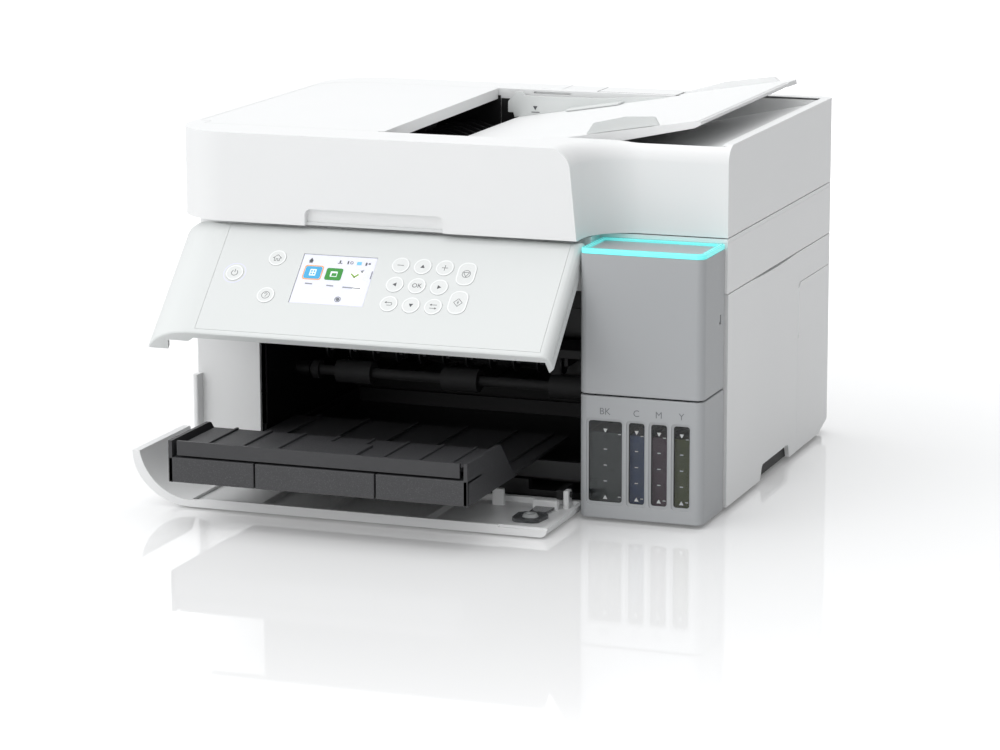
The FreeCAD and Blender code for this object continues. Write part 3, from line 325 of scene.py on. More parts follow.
# ---------------------------------------------------------------- shapes
class Solid:
    """A closed shape under construction, in millimetres."""

    def __init__(self, mesh: bmesh.types.BMesh) -> None:
        """Wrap a mesh."""
        self.mesh = mesh

    @staticmethod
    def plate(points: Sequence[Point], low: float, high: float, rounds: Mapping[int, float] | None = None,
              axis: Axis = Axis.Z) -> "Solid":
        """Draw a closed outline out along an axis.

        Args:
            points: Corners; the two coordinates are the axes other than axis, in x, y, z order.
            low: Where it starts along the axis.
            high: Where it ends along the axis.
            rounds: Corner index to its radius.
            axis: The axis to draw along.

        Returns:
            The solid.
        """
        mesh = bmesh.new()
        order = {Axis.Z: lambda a, b: (a, b, low), Axis.Y: lambda a, b: (a, low, b), Axis.X: lambda a,
                 b: (low, a, b)}
        corners = [mesh.verts.new(order[axis](*p)) for p in points]
        mesh.faces.new(corners)
        count = len(points)
        for index, radius in (rounds or {}).items():
            here = Vector(points[index])
            one = (Vector(points[index - 1]) - here).normalized()
            two = (Vector(points[(index + 1) % count]) - here).normalized()
            reach = radius / math.tan(one.angle(two) / 2)
            bmesh.ops.bevel(mesh, geom=[corners[index]], affect="VERTICES", offset=reach,
                            offset_type="OFFSET", segments=max(4, min(20, round(radius * 0.7))), profile=0.5,
                            clamp_overlap=False, material=-1)
        made = bmesh.ops.extrude_face_region(mesh, geom=mesh.faces[:])
        step = Vector((0, 0, 0))
        step[axis.value] = high - low
        bmesh.ops.translate(mesh, vec=step, verts=[g for g in made["geom"]
                                                   if isinstance(g, bmesh.types.BMVert)])
        bmesh.ops.recalc_face_normals(mesh, faces=mesh.faces)
        return Solid(mesh)

    @staticmethod
    def block(x: Span, y: Span, z: Span, edge: float = 0.0, segments: int = 2) -> "Solid":
        """A block between limits, with its edges eased by edge."""
        mesh = bmesh.new()
        bmesh.ops.create_cube(mesh, size=1.0)
        size = Vector((x[1] - x[0], y[1] - y[0], z[1] - z[0]))
        bmesh.ops.scale(mesh, vec=size, verts=mesh.verts)
        bmesh.ops.translate(mesh, vec=Vector((sum(x), sum(y), sum(z))) / 2, verts=mesh.verts)
        shape = Solid(mesh)
        return shape.ease(edge, segments) if edge else shape

    @staticmethod
    def drum(axis: Axis, centre: Point, radius: float, span: Span, end_radius: float | None = None,
             sides: int = 48) -> "Solid":
        """A round bar or cone along an axis, centre giving the other two coordinates in x, y, z order."""
        mesh = bmesh.new()
        bmesh.ops.create_cone(mesh, cap_ends=True, segments=sides, radius1=radius, radius2=radius
                              if end_radius is None else end_radius, depth=span[1] - span[0])
        turn = {Axis.X: Matrix.Rotation(math.pi / 2, 4, "Y"), Axis.Y: Matrix.Rotation(-math.pi / 2, 4, "X"),
                Axis.Z: Matrix.Identity(4)}[axis]
        bmesh.ops.transform(mesh, matrix=turn, verts=mesh.verts)
        middle = list(centre)
        middle.insert(axis.value, sum(span) / 2)
        bmesh.ops.translate(mesh, vec=Vector(middle), verts=mesh.verts)
        return Solid(mesh)

    def ease(self, width: float, segments: int = 2, where: Callable[[bmesh.types.BMEdge], bool] | None = None,
             angle: float = 30.0, profile: float = 0.5) -> "Solid":
        """Round the sharp edges that where accepts.

        Args:
            width: Radius of the rounding.
            segments: Facets across it.
            where: Test of an edge; all sharp edges when None.
            angle: Edges flatter than this many degrees are left.
            profile: Shape of the rounding.
        """
        limit = math.radians(angle)
        edges = [e for e in self.mesh.edges
                 if len(e.link_faces) == 2 and e.calc_face_angle(0.0) > limit and (where is None or where(e))]
        bmesh.ops.bevel(self.mesh, geom=edges, affect="EDGES", offset=width, offset_type="OFFSET",
                        segments=segments, profile=profile, clamp_overlap=True, material=-1)
        return self

    def _boolean(self, others: Sequence["Solid"], operation: str) -> "Solid":
        """Combine with other solids."""
        temps = []
        for shape in (self, *others):
            data = bpy.data.meshes.new("temp")
            shape.mesh.to_mesh(data)
            shape.mesh.free()
            temps.append(bpy.data.objects.new("temp", data))
            bpy.context.collection.objects.link(temps[-1])
        base = temps[0]
        for tool in temps[1:]:
            step = base.modifiers.new("step", "BOOLEAN")
            step.operation, step.object, step.solver = operation, tool, "EXACT"
        bpy.context.view_layer.update()
        done = bpy.data.meshes.new_from_object(base.evaluated_get(bpy.context.evaluated_depsgraph_get()))
        self.mesh = bmesh.new()
        self.mesh.from_mesh(done)
        bpy.data.meshes.remove(done)
        for temp in temps:
            bpy.data.meshes.remove(temp.data)
        bmesh.ops.remove_doubles(self.mesh, verts=self.mesh.verts, dist=0.002)
        return self

    def cut(self, *tools: "Solid") -> "Solid":
        """Take other solids out of this one."""
        return self._boolean(tools, "DIFFERENCE")

    def join(self, *others: "Solid") -> "Solid":
        """Fuse other solids into this one."""
        return self._boolean(others, "UNION")

    def beside(self, *others: "Solid") -> "Solid":
        """Keep other separate shells in the same mesh."""
        for other in others:
            data = bpy.data.meshes.new("temp")
            other.mesh.to_mesh(data)
            other.mesh.free()
            self.mesh.from_mesh(data)
            bpy.data.meshes.remove(data)
        return self

    def move(self, x: float = 0.0, y: float = 0.0, z: float = 0.0) -> "Solid":
        """Shift the shape."""
        bmesh.ops.translate(self.mesh, vec=Vector((x, y, z)), verts=self.mesh.verts)
        return self

    def turn(self, degrees: float, axis: str, about: Sequence[float]) -> "Solid":
        """Turn the shape about a line along an axis through a point."""
        bmesh.ops.rotate(self.mesh, cent=Vector(about),
                         matrix=Matrix.Rotation(math.radians(degrees), 3, axis), verts=self.mesh.verts)
        return self

    def make(self, name: str, finish: Finish, body: str, stands_for: str = "", bevel: float = 0.0,
             slot: str = "") -> bpy.types.Object:
        """Turn the shape into a finished piece in the CAD frame.

        Args:
            name: The piece's name.
            finish: Its finish.
            body: The CAD body it moves with.
            stands_for: CAD node that it replaces, if any.
            bevel: Width of the eased edges; 0 leaves them.
            slot: The record's material slot, where it isn't the finish's own; not used.

        Returns:
            The piece.
        """
        bmesh.ops.translate(self.mesh, vec=Vector((0, FRONT, 0)), verts=self.mesh.verts)
        bmesh.ops.scale(self.mesh, vec=Vector((MM, MM, MM)), verts=self.mesh.verts)
        data = bpy.data.meshes.new(name)
        self.mesh.to_mesh(data)
        self.mesh.free()
        data.shade_smooth()
        piece = bpy.data.objects.new(name, data)
        bpy.context.collection.objects.link(piece)
        data.materials.append(finish.material())
        if bevel:
            ease = piece.modifiers.new("eased_edges", "BEVEL")
            ease.width, ease.segments, ease.limit_method = bevel * MM, 2, "ANGLE"
            ease.angle_limit, ease.harden_normals = CREASE, True
            ease.miter_outer = "MITER_ARC"
        else:
            data.set_sharp_from_angle(angle=CREASE)
        flat = piece.modifiers.new("flat_faces_stay_flat", "WEIGHTED_NORMAL")
        flat.keep_sharp, flat.weight = True, 90
        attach(piece, body)
        slot or finish.slot
        if stands_for:
            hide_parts(stands_for)
        LOG.info("%s: %d faces", name, len(data.polygons))
        return piece


block, plate, drum = Solid.block, Solid.plate, Solid.drum


def lettering(text: str, height: float, x: float, y: float, z: float, depth: float = 0.3) -> Solid:
    """Upright letters on a wall that faces the front.

    Args:
        text: The letters.
        height: Their size.
        x: Middle of the text.
        y: The wall's depth.
        z: Middle height of the letters.
        depth: How thick the letters are.

    Returns:
        The letters as one solid.
    """
    curve = bpy.data.curves.new("letters", "FONT")
    curve.body, curve.size, curve.resolution_u = text, height, 3
    curve.align_x = curve.align_y = "CENTER"
    holder = bpy.data.objects.new("letters", curve)
    bpy.context.collection.objects.link(holder)
    bpy.context.view_layer.update()
    flat = bpy.data.meshes.new_from_object(holder.evaluated_get(bpy.context.evaluated_depsgraph_get()))
    mesh = bmesh.new()
    mesh.from_mesh(flat)
    bpy.data.objects.remove(holder)
    bpy.data.meshes.remove(flat)
    bmesh.ops.remove_doubles(mesh, verts=mesh.verts, dist=0.001)
    made = bmesh.ops.extrude_face_region(mesh, geom=mesh.faces[:])
    bmesh.ops.translate(mesh, vec=Vector((0, 0, depth)),
                        verts=[g for g in made["geom"] if isinstance(g, bmesh.types.BMVert)])
    bmesh.ops.recalc_face_normals(mesh, faces=mesh.faces)
    bmesh.ops.rotate(mesh, cent=Vector((0, 0, 0)), matrix=Matrix.Rotation(math.pi / 2, 3, "X"),
                     verts=mesh.verts)
    return Solid(mesh).move(x, y, z)


def ring(centre: Point, outer: float, inner: float, y: Span, arc: Span = (0.0, 360.0),
         sides: int = 40) -> Solid:
    """A flat ring or part of one, facing the front.

    Args:
        centre: Its x and z.
        outer: Outer radius.
        inner: Inner radius.
        y: Its front and back.
        arc: Start and end in degrees, anticlockwise from the right.
        sides: Facets in a full turn.

    Returns:
        The ring.
    """
    mesh = bmesh.new()
    corners = [mesh.verts.new((r, d, 0)) for r, d in ((inner, y[0]), (outer, y[0]), (outer, y[1]),
                                                      (inner, y[1]))]
    face = mesh.faces.new(corners)
    sweep = arc[1] - arc[0]
    full = abs(sweep) >= 360.0
    bmesh.ops.rotate(mesh, cent=Vector((0, 0, 0)), matrix=Matrix.Rotation(-math.radians(arc[0]), 3, "Y"),
                     verts=mesh.verts)
    bmesh.ops.spin(mesh, geom=[*mesh.verts, *mesh.edges, *([] if full else [face])], cent=Vector((0, 0, 0)),
                   axis=Vector((0, -1, 0)), angle=math.radians(sweep),
                   steps=max(3, round(sides * abs(sweep) / 360)), use_merge=full)
    if full:
        mesh.faces.remove(face)
    bmesh.ops.remove_doubles(mesh, verts=mesh.verts, dist=0.001)
    bmesh.ops.recalc_face_normals(mesh, faces=mesh.faces)
    return Solid(mesh).move(centre[0], 0, centre[1])


def pad(x: float, z: float, half_x: float, half_z: float, radius: float, y: Span) -> Solid:
    """A rounded rectangle that faces the front, centred on x and z."""
    return plate([(x - half_x, z - half_z), (x + half_x, z - half_z), (x + half_x, z + half_z),
                  (x - half_x, z + half_z)], y[0], y[1], {i: radius for i in range(4)}, Axis.Y)


def bar(start: Point, end: Point, width: float, y: Span) -> Solid:
    """A straight flat stroke between two points of the front plane."""
    one, two = Vector(start), Vector(end)
    side = (two - one).orthogonal().normalized() * width / 2
    return plate([tuple(one + side), tuple(one - side), tuple(two - side), tuple(two + side)], y[0], y[1],
                 axis=Axis.Y)


def triangle(x: float, z: float, size: float, heading: float, y: Span) -> Solid:
    """A small triangle whose point heads in a direction, in degrees from the right."""
    corners = [(x + size * math.cos(math.radians(heading + a)),
                z + size * math.sin(math.radians(heading + a))) for a in (0, 120, 240)]
    return plate(corners, y[0], y[1], axis=Axis.Y)


def group(shapes: Sequence[Solid]) -> Solid:
    """Several separate shells as one shape."""
    return shapes[0].beside(*shapes[1:])


# ---------------------------------------------------------------- body shells
@dataclass
class Casing:
    """White outer walls of the body, with the rear covers and their screws."""

    side: float = 187.5
    rear: float = 305.0
    bottom: float = 3.7
    top: float = 144.2
    wall: float = 3.0
    pillar_x: float = -141.0
    pillar_y: float = 44.0
    recess_y: float = 46.0

    def build(self) -> None:
        """Build every wall."""
        self._left()
        self._right()
        self._rear()

    def _left(self) -> None:
        """Left wall, its front pillar and the step below it."""
        s, w, py = self.side, self.wall, self.pillar_y
        wall = plate([(-s, py), (self.pillar_x, py), (self.pillar_x, py + w), (-s + w, py + w),
                      (-s + w, self.rear - w), (-s + 44, self.rear - w), (-s + 44, self.rear),
                      (-s, self.rear)], self.bottom, self.top, {7: 40.0, 4: 37.0, 0: 1.5})
        step = plate([(-s, 36.0), (-s + 4, 36.0), (-s + 4, py + 1), (-s, py + 1)], self.bottom, 68.0,
                     {0: 1.5, 1: 1.5})
        wall.join(step).make("left_side_wall", WHITE, "chassis", "left_casing", bevel=0.6)

    def _right(self) -> None:
        """Right wall with its carrying notch, the return beside the tanks and the rear corner cover."""
        s, w, r = self.side, self.wall, self.rear
        wall = plate([(self.recess_y, self.bottom), (126, self.bottom), (130.5, 13.5), (195.0, 13.5),
                      (199, self.bottom), (216.2, self.bottom), (216.2, 122.8), (r - 11.4, 122.8),
                      (r - 11.4, self.top), (self.recess_y, self.top)], s - w, s, {2: 4.0, 3: 3.0, 6: 5.0},
                     Axis.X)
        grip = drum(Axis.X, (155.0, 1421.0), 1278.0, (s - 5, s + 1), sides=720)
        face = block((103.2, s), (self.recess_y, self.recess_y + w), (self.bottom, self.top))
        corner = plate([(s - w, r - 12), (s, r - 12), (s, r), (s - 11, r), (s - 11, r - w), (s - w, r - w)],
                       122.8, self.top, {2: 8.0})
        wall.cut(grip).join(face, corner).make("right_side_wall", WHITE, "chassis", "right_casing", bevel=0.6)
        cover = plate([(s - w, 216.9), (s, 216.9), (s, r), (s - 11, r), (s - 11, r - w), (s - w, r - w)],
                      self.bottom, 122.2, {2: 8.0})
        heel = plate([(271, self.bottom - 1), (r + 1, self.bottom - 1), (r + 1, 12.0)], s - 14, s + 1,
                     axis=Axis.X)
        dent = plate([(216.0, 84.0), (219.4, 84.0), (219.4, 118.5), (222.5, 121.4), (216.0, 124.0)], s - 1.8,
                     s + 1, {1: 1.6}, Axis.X)
        cover.cut(heel, dent).make("rear_corner_cover", WHITE, "chassis", "rear_side_cover", bevel=0.7)

    def _rear(self) -> None:
        """Rear wall with its vents and ports, the jam cover and the screws."""
        s, r = self.side, self.rear
        wall = block((-s + 44.4, s - 11.4), (r - self.wall, r), (self.bottom, self.top))
        hatch = block((-120, 120), (r - 5, r + 1), (40, 120))
        socket = block((-140, -118), (r - 5, r + 1), (14, 28))
        port = block((148, 161), (r - 5, r + 1), (60, 72))
        vents = [pad(x, 131.0, 8.0, 1.3, 1.2, (r - 4, r + 1)) for x in range(-100, 101, 20)]
        wall.cut(hatch, socket, port, *vents).make("rear_wall", WHITE, "chassis", "rear_casing", bevel=0.5)
        cover = plate([(-119.4, r - 2.6), (119.4, r - 2.6), (119.4, r + 15), (-119.4, r + 15)], 40.6, 119.4,
                      {2: 6.0, 3: 6.0})
        hollow = block((-116.4, 116.4), (r - 4, r + 12.5), (43.6, 116.4))
        ribs = [block((x, x + 2), (r + 12, r + 16), (50, 110)) for x in (-80, 78)]
        grips = [drum(Axis.X, (r + 22.0, 80.0), 12.0, (x, x + 26)) for x in (-106, 80)]
        cover.cut(hollow, *ribs, *grips).make("jam_cover", WHITE, "rear_cover", "rear_jam_cover", bevel=0.8)
        # A thin brighter strip in the corner cover's grip slot: a painted highlight.
        glint = block((s - 0.6, s - 0.1), (217.3, 218.9), (85.0, 119.0), 0.2)
        glint.make("corner_slot_painted_highlight", PAINTED_HIGHLIGHT_WHITE, "chassis", slot="white_shell")
        for index, (x, z) in enumerate(((-130, 134), (168, 134), (-130, 10), (168, 10))):
            head = drum(Axis.Y, (x, z), 3.2, (r - 0.4, r + 0.6)).ease(0.4)
            slots = [bar((x - 1.8, z), (x + 1.8, z), 0.7, (r, r + 1)),
                     bar((x, z - 1.8), (x, z + 1.8), 0.7, (r, r + 1))]
            head.cut(*slots).make(f"rear_screw_{index}", STEEL, "chassis")


# ---------------------------------------------------------------- ink tanks
@dataclass
class InkTanks:
    """Grey tank unit: lower housing with four ink windows, and the upper cover with its light ring."""

    left: float = 102.8
    right: float = 186.0
    front: float = -3.0
    rear: float = 44.0
    bottom: float = 2.5
    seam: float = 82.8
    top: float = 178.0
    wall: float = 2.5
    windows: dict[str, tuple[float, float, str, str, str]] = field(default_factory=lambda: {
        "black": (109.3, 131.7, "BK", "#5c5d5d", "#626363"),
        "cyan": (136.3, 146.8, "C", "#4a5c8c", "#526494"),
        "magenta": (151.3, 161.9, "M", "#6a4659", "#734e61"),
        "yellow": (166.4, 177.0, "Y", "#6b6c38", "#73743e")})

    def _sleeve(self, inset: float, low: float, high: float, radius: float, rear: float) -> Solid:
        """A block with the unit's plan, drawn in by inset."""
        a, b, f, r = self.left + inset, self.right - inset, self.front + inset, rear - inset
        return plate([(a, f), (b, f), (b, r), (a, r)], low, high,
                     {0: max(radius - inset, 0.8), 1: max(radius - inset, 0.8), 2: 1.0, 3: 1.0})

    def build(self) -> None:
        """Build the housing, windows, inks, cover and ring."""
        outer = self._sleeve(0.0, self.bottom, self.seam, 5.5, self.rear)
        outer.ease(2.4, 4, lambda e: all(v.co.z > self.seam - 0.1 for v in e.verts))
        outer.ease(1.8, 3, lambda e: all(v.co.z < self.bottom + 0.1 for v in e.verts))
        inner = self._sleeve(self.wall, self.bottom + self.wall, self.seam + 1, 5.5, self.rear)
        tools = []
        for a, b, *_ in self.windows.values():
            x, half = (a + b) / 2, (b - a) / 2
            tools.append(pad(x, 39.85, half, 26.65, 1.8, (self.front - 1, self.front + 4)))
            flare = pad(x, 39.6, half + 1.3, 28.2, 2.6, (self.front - 1, self.front + 0.9))
            tools.append(flare)
        outer.cut(inner, *tools).make("tank_lower_housing", GREY, "chassis", "tank_housing", bevel=0.35)
        self._windows()
        self._cover()
        self._light_ring()

    def _windows(self) -> None:
        """Panes, inks and their printed marks and letters."""
        panes, marks, letters = [], [], []
        y = self.front + 1.15
        for name, (a, b, letter, low, high) in self.windows.items():
            x, half = (a + b) / 2, (b - a) / 2
            panes.append(pad(x, 39.85, half - 0.05, 26.6, 1.7, (y, y + 0.9)))
            level = 58.6 if name == "black" else 57.6
            body = block((a - 0.2, b + 0.2), (self.front + 4.05, self.rear - 5.05), (6.05, level))
            ink = MouldedPlastic(f"ink_{name}", low, high, 0.3, grain_mm=9.0, grain_depth_mm=0.001,
                                 slot="ink")
            body.make(f"ink_{name}", ink, "chassis", "inks" if name == "black" else "", bevel=0.3)
            flat = (y - 0.12, y + 0.02)
            marks += [triangle(x, 60.6, 1.7, -90, flat), triangle(x, 16.0, 1.7, 90, flat)]
            marks += [bar((x - 1.1, z), (x + 1.1, z), 0.5, flat) for z in (27.0, 37.5, 48.0)]
            marks += [bar((b - 2.6, z), (b - 0.7, z), 0.45, flat) for z in (17.0, 58.2)]
            letters.append(lettering(letter, 6.2, x, self.front + 0.02, 72.8, 0.06))
        pane_finish = ClearPlastic("ink_window_pane", "#e3e5e6", "#dcdfe0", 0.05, 1.3, clarity=1.0,
                                   slot="clear_window")
        group(panes).make("tank_window_panes", pane_finish, "chassis", "tank_windows")
        group(marks).make("tank_window_marks", WINDOW_MARK, "chassis")
        group(letters).make("tank_letters", LETTER, "chassis")

    def _cover(self) -> None:
        """Upper cover with the sunk plate inside the ring and the catch slot on its side."""
        low, high, rear = self.seam + 1.0, self.top - 0.6, self.rear - 1
        shell = self._sleeve(0.0, low, high, 5.5, rear)
        shell.ease(1.6, 3, lambda e: all(v.co.z < low + 0.1 for v in e.verts))
        inner = self._sleeve(self.wall, low - 1, self.top - 4.0, 5.5, rear)
        seat = self._sleeve(-1.0, self.top - 3.4, self.top + 1, 6.0, rear)
        keep = self._sleeve(3.6, self.top - 4.4, self.top + 2, 6.5, rear)
        sunk = self._sleeve(3.6, self.top - 1.6, self.top + 2, 6.5, rear)
        slot = block((self.right - 1.2, self.right + 1), (32.6, 34.8), (127.2, 133.4))
        catch = block((self.right - 1.2, self.right + 1), (31.0, 32.7), (127.2, 129.0))
        doorway = block((self.left + self.wall, self.right - self.wall), (rear - 3.5, rear + 2),
                        (self.seam, 108))
        shell.cut(inner, seat.cut(keep), sunk, slot, catch, doorway)
        shell.make("tank_upper_cover", GREY, "tank_cover", "tank_cover", bevel=0.4)
        # A near-black sheet at the bottom of the shallow catch slot: painted shade standing for the slot's
        # depth.
        back = block((self.right - 1.25, self.right - 1.15), (30.8, 35.0), (127.0, 133.6))
        back.make("tank_catch_painted_shade", NEAR_BLACK_AND_SHADE, "tank_cover")

    def _light_ring(self) -> None:
        """Cyan light guide round the top, with its darker inner edge."""
        rear = self.rear - 1
        band = self._sleeve(0.15, self.top - 3.3, self.top, 5.5, rear)
        band.ease(0.9, 3, lambda e: all(v.co.z > self.top - 0.1 for v in e.verts))
        hole = self._sleeve(3.5, self.top - 5, self.top + 1, 6.5, rear)
        band.cut(hole).make("tank_light_ring", RING, "tank_cover", "light_ring", bevel=0.25)
        trim = self._sleeve(0.9, self.top - 0.05, self.top + 0.04, 6.0, rear)
        trim.cut(self._sleeve(1.25, self.top - 1, self.top + 1, 6.0, rear))
        trim.beside(self._sleeve(2.7, self.top - 0.05, self.top + 0.04, 6.4,
                                 rear).cut(self._sleeve(3.0, self.top - 1, self.top + 1, 6.4, rear)))
        trim.make("tank_ring_lines", RING_EDGE, "tank_cover")


# ---------------------------------------------------------------- scanner
def plan(front: float, inset: float, right: float = 101.5, rear: float = 305.0) -> list[Point]:
    """Plan shared by the scanner and the lid: a wide left part and a right part set back.

    Args:
        front: Depth of the front face.
        inset: How far the plan is drawn in.
        right: Where the front part ends.
        rear: Depth of the rear face.

    Returns:
        Corners, anticlockwise from the front left.
    """
    return [(-187.5 + inset, front + inset), (right - inset, front + inset), (right - inset, 43.5 + inset),
            (187.5 - inset, 43.5 + inset), (187.5 - inset, rear - inset), (-187.5 + inset, rear - inset)]


@dataclass
class Scanner:
    """Scanner tub, the frame round its glass and the small parts inside."""

    bottom: float = 145.0
    top: float = 180.7

    def build(self) -> None:
        """Build the tub and its top frame."""
        rounds = {0: 38.0, 4: 8.0, 5: 40.0}
        tub = plate(plan(24, 0), self.bottom, self.top - 2.7, rounds)
        room = plate(plan(24, 3), self.bottom + 2.5, self.top, {0: 35.0, 4: 5.0, 5: 37.0})
        bites = [block((x - 6.5, x + 6.5), (291, 306), (144, 158.5)) for x in (-146, 146)]
        arms = [block((x, x + 4), (4.6, 25), (169.75, 174.55), 0.8) for x in (-124, 70)]
        pins = [drum(Axis.X, (7.0, 172.15), 2.0, (x, x + 9), sides=24) for x in (-124, 70)]
        rail = drum(Axis.X, (170.0, 163.0), 3.0, (-185, 185), sides=24)
        tongues = [block((x, x + 5), (294, 303), (146, 156.5)) for x in (-138.5, 133.5)]
        tub.cut(room, *bites, self._heel(299.0, 151.5, 6.0, self.bottom)).join(*arms, *pins, rail, *tongues)
        tub.make("scanner_tub", WHITE, "scanner", "scanner_base", bevel=0.6)
        top = plate(plan(24, 0), self.top - 2.6, self.top, rounds)
        top.cut(block((-155, 155), (58, 280), (170, 190)))
        posts = [block((x, x + 6), (295, 301), (self.top - 1, 193), 1.0) for x in (-130, 124)]
        pegs = [drum(Axis.X, (298.0, 190.0), 2.0, (x, x + 14), sides=24) for x in (-130, 116)]
        top.join(*posts, *pegs).make("scanner_frame", WHITE, "scanner", "scanner_top", bevel=0.5)
        border = block((-155, 155), (58, 280), (self.top - 0.3, self.top + 0.05))
        border.cut(block((-149, 149), (64, 274), (170, 190)))
        border.make("glass_border", DARK, "scanner")

    @staticmethod
    def _heel(y: float, z: float, radius: float, bottom: float) -> Solid:
        """Tool that rounds a lower rear edge about its hinge line."""
        brick = block((-190, 190), (y, y + radius + 1), (bottom - 1, z))
        return brick.cut(drum(Axis.X, (y, z), radius, (-191, 191), sides=64))


# ---------------------------------------------------------------- lid
@dataclass
class Lid:
    """Document lid with the feeder's well, the bin beside it and the scooped corner over the tanks."""

    bottom: float = 181.5
    top: float = 240.5
    floor: float = 206.0
    scoop: float = 12.0
    lean: float = 6.5

    def build(self) -> None:
        """Build the lid's shell, its feeder cover, the tray and the guides."""
        self._shell()
        self._feeder()
        self._tray()
        self._guides()

    def _shell(self) -> None:
        """Outer shell: scooped right corner, wells, lift notch and the rim's groove."""
        shell = plate(plan(0, 0, 100.0), self.bottom, self.top, {0: 42.0, 2: 30.0, 4: 8.0, 5: 40.0})
        top = self.top - 0.1

        def scooped(edge: bmesh.types.BMEdge) -> bool:
            middle = (edge.verts[0].co + edge.verts[1].co) / 2
            return all(v.co.z > top for v in edge.verts) and middle.x > 99.5 and 1.0 < middle.y < 60.0

        shell.ease(self.scoop, 10, scooped)

        def brow(edge: bmesh.types.BMEdge) -> bool:
            a, b = (v.co for v in edge.verts)
            on_front = abs(a.y) < 0.01 and abs(b.y) < 0.01 and max(a.z, b.z) > self.bottom + 1
            on_top = a.z > top and b.z > top and not (min(a.x, b.x) > 60 and max(a.y, b.y) < 62)
            return on_front and min(a.x, b.x) > -146 or on_top

        shell.ease(3.6, 4, brow)
        for vert in shell.mesh.verts:
            x, y, z = vert.co
            if 60 < x < 140 and y < 60:
                rise = max(0.0, (z - self.bottom) / (self.top - self.bottom))
                vert.co.x -= self.lean * rise ** 1.5 * min(1.0, (60 - y) / 40) * min(1.0, (x - 60) / 25)
        under = plate(plan(4.5, 3, 100.0), self.bottom - 1, self.floor - 3,
                      {0: 39.0, 2: 33.0, 4: 5.0, 5: 37.0})
        front_room = plate([(-175, 6), (82, 6), (82, 31), (-180, 31)], self.bottom - 1, self.top - 4,
                           {0: 20.0})
        rear_room = block((-146, 172), (296, 302), (self.bottom - 1, self.top - 4))
        left_well = plate([(-183.5, 48), (-175.5, 48), (-175.5, 37), (-48, 37), (-48, 272), (-183.5, 272)],
                          self.floor, self.top + 1, {5: 30.0, 1: 0.5})
        well = plate([(-50, self.top + 1), (-50, self.floor), (24, self.floor), (181, self.top - 3),
                      (181, self.top + 1)], 50.0, 272, axis=Axis.Y)
        mouth = block((-50, 62), (35, 51), (self.floor, self.top + 1))
        tail = plate([(80, self.top + 1), (80, 216), (181, self.top - 3), (181, self.top + 1)], 271, 294,
                     axis=Axis.Y)
        notch = plate([(-87.7, self.bottom - 1), (9, self.bottom - 1), (9, 192.5), (-87.7, 192.5)], -1, 4.6,
                      {2: 4.0, 3: 4.0}, Axis.Y)
        post_ways = [block((x - 1.5, x + 7.5), (292, 306), (self.bottom - 1, 197)) for x in (-130, 124)]
        gap = block((-25, 3), (270, 274.5), (237.8, 239.2))
        shell.cut(under, front_room, rear_room, left_well, well, mouth, tail, notch, gap,
                  Scanner._heel(298.0, 190.0, 7.0, self.bottom), *post_ways)
        ears = [block((x, x + 4), (294, 303), (186, 196), 0.8) for x in (-121, 117)]
        shell.join(*ears)
        shell.make("lid_outer_shell", WHITE, "lid", "lid_shell", bevel=0.7)
        rim = plate([(181.0, 50), (183.2, 50), (183.2, 296.2), (84, 296.2), (84, 294.0), (181.0, 294.0)],
                    self.top - 1.5, self.top - 0.55, {2: 3.0})
        rim.make("bin_rim_step", WHITE, "lid")
        # Flush grey lines where the rear plate's seam is: painted shade of the seam's gap.
        line = block((21, 96), (276.5, 277.1), (self.top - 0.3, self.top + 0.05))
        line.beside(block((21, 21.6), (276.5, 301), (self.top - 0.3, self.top + 0.05)),
                    block((96, 96.6), (276.5, 301), (self.top - 0.3, self.top + 0.05)))
        line.make("rear_plate_seam", PRINT_AND_SEAM_SHADE_GREY, "lid", slot="white_shell")
        lip = block((-60, -6), (280, 304.2), (self.top - 1, self.top + 0.35), 0.3)
        lip.make("rear_raised_plate", WHITE, "lid")

    def _feeder(self) -> None:
        """Feeder cover, the black lining of the well and its ribs."""
        z = self.top
        cover = plate([(-183.1, 48.4), (-175.1, 48.4), (-175.1, 37.4), (-46, 37.4), (-52, 271.6),
                       (-183.1, 271.6)], z - 3.0, z, {5: 30.0, 1: 0.5})
        flange = plate([(-49.0, 37.6), (-46.0, 37.6), (-52.0, 271.4), (-55.0, 271.4)], z - 7.5, z - 0.5)
        cover.join(flange).make("feeder_top_cover", WHITE, "feeder_cover", "feeder_cover", bevel=0.5)
        lining = block((-49.6, 60), (36.0, 49.6), (self.floor + 0.05, self.floor + 0.4))
        lining.beside(block((-182.5, 23.5), (50.4, 271.5), (self.floor + 0.05, self.floor + 0.4)),
                      block((-49.5, 70), (271.2, 271.9), (self.floor, z - 7)),
                      block((-183, -50), (271.2, 271.9), (self.floor, z - 5)),
                      block((-49.5, 61), (35.2, 36.0), (self.floor, z - 5.5)),
                      block((-182, -49), (37.2, 37.9), (self.floor, z - 5)))
        lining.make("feeder_lining", NEAR_BLACK_AND_SHADE, "lid")
        hood = plate([(-112, self.floor + 0.4), (-58, self.floor + 0.4), (-58, 214), (-70, 222), (-112, 222)],
                     56, 104, axis=Axis.Y)
        ribs = [plate([(-78, self.floor + 0.3), (-30, self.floor + 0.3), (-34, 210), (-62, 219), (-78, 219)],
                      y, y + 1.6, axis=Axis.Y) for y in range(112, 262, 12)]
        hood.beside(*ribs).make("feeder_ribs", DARK, "lid", bevel=0.3)

    @staticmethod
    def _slope(shape: Solid) -> Solid:
        """Set a shape drawn level onto the document tray's slope."""
        return shape.turn(-TRAY_SLOPE, "Y", TRAY_HINGE)

